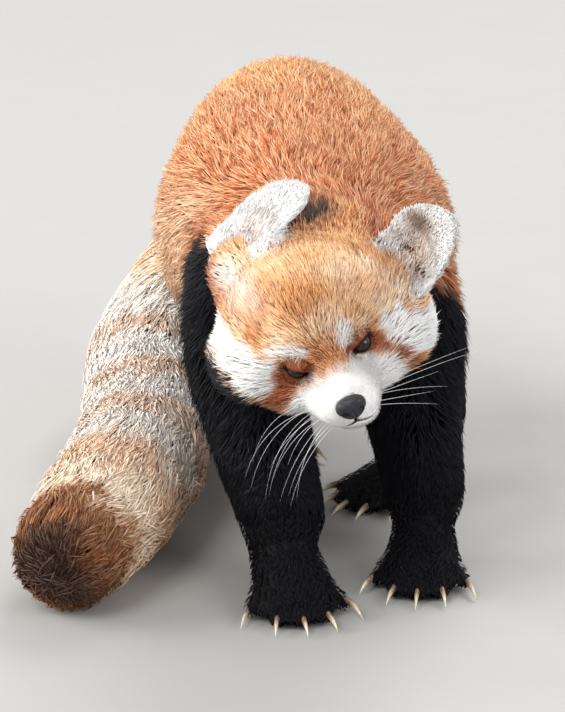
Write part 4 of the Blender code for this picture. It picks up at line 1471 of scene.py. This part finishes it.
def soft_light(name, place, aim_height, width, power, colour):
    data = bpy.data.lights.new(name, "AREA")
    data.shape = "DISK"
    data.size = width
    data.energy = power * bpy.context.scene.panda_sizes.light_strength
    data.color = colour
    obj = bpy.data.objects.new(name, data)
    obj.location = place
    obj.rotation_euler = (Vector((0, 0, aim_height)) - Vector(place)).to_track_quat("-Z", "Y").to_euler()
    bpy.context.scene.collection.objects.link(obj)


class PANDA_OT_stage(bpy.types.Operator):
    """Sets the pale floor, the soft lights and the camera"""
    bl_idname = "panda.stage"
    bl_label = "Museum Stage"

    def execute(self, context):
        bpy.ops.object.select_all(action="DESELECT")
        bpy.ops.mesh.primitive_circle_add(vertices=96, radius=FLOOR_RADIUS, fill_type="NGON")
        floor = context.object
        floor.name = "floor"
        floor.data.materials.append(floor_finish())
        for name, light in LIGHTS.items():
            soft_light(name, *light)
        context.scene.view_settings.view_transform = "Standard"
        world = bpy.data.worlds.new("studio")
        context.scene.world = world
        world.use_nodes = True
        back = world.node_tree.nodes["Background"]
        back.inputs["Color"].default_value = (0.97, 0.97, 1.0, 1)
        back.inputs["Strength"].default_value = 0.8
        data = bpy.data.cameras.new("camera")
        data.lens = CAMERA_LENS
        data.sensor_width = 36.0
        data.clip_end = 50.0
        camera = bpy.data.objects.new("camera", data)
        context.scene.collection.objects.link(camera)
        away = Vector((0, -math.cos(CAMERA_RISE), math.sin(CAMERA_RISE)))
        camera.location = Vector(framed(CAMERA_AIM)) + away * CAMERA_DISTANCE
        camera.rotation_euler = (-away).to_track_quat("-Z", "Y").to_euler()
        context.scene.camera = camera
        return {"FINISHED"}


OPERATORS = (PANDA_OT_stage, PANDA_OT_skin, PANDA_OT_eyes, PANDA_OT_nose, PANDA_OT_claws,
             PANDA_OT_body_coat, PANDA_OT_tail_coat, PANDA_OT_leg_coat, PANDA_OT_head_coat,
             PANDA_OT_whiskers)


class PANDA_PT_panel(bpy.types.Panel):
    """The sizes, the colours and the steps, in the sidebar"""
    bl_idname = "PANDA_PT_panel"
    bl_label = "Red Panda"
    bl_space_type = "VIEW_3D"
    bl_region_type = "UI"
    bl_category = "Red Panda"

    def draw(self, context):
        for group in (context.scene.panda_sizes, context.scene.panda_colours):
            for name in group.__annotations__:
                self.layout.prop(group, name)
        for operator in OPERATORS:
            self.layout.operator(operator.bl_idname)


CLASSES = (PANDA_PG_sizes, PANDA_PG_colours) + OPERATORS + (PANDA_PT_panel,)


def register():
    for cls in CLASSES:
        bpy.utils.register_class(cls)
    bpy.types.Scene.panda_sizes = bpy.props.PointerProperty(type=PANDA_PG_sizes)
    bpy.types.Scene.panda_colours = bpy.props.PointerProperty(type=PANDA_PG_colours)


def unregister():
    del bpy.types.Scene.panda_sizes
    del bpy.types.Scene.panda_colours
    for cls in reversed(CLASSES):
        bpy.utils.unregister_class(cls)


def main():
    register()
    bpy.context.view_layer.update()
    bpy.ops.panda.stage()
    bpy.ops.panda.skin()
    bpy.ops.panda.eyes()
    bpy.ops.panda.nose()
    bpy.ops.panda.claws()
    bpy.ops.panda.body_coat()
    bpy.ops.panda.tail_coat()
    bpy.ops.panda.leg_coat()
    bpy.ops.panda.head_coat()
    bpy.ops.panda.whiskers()


if __name__ == "__main__":
    main()
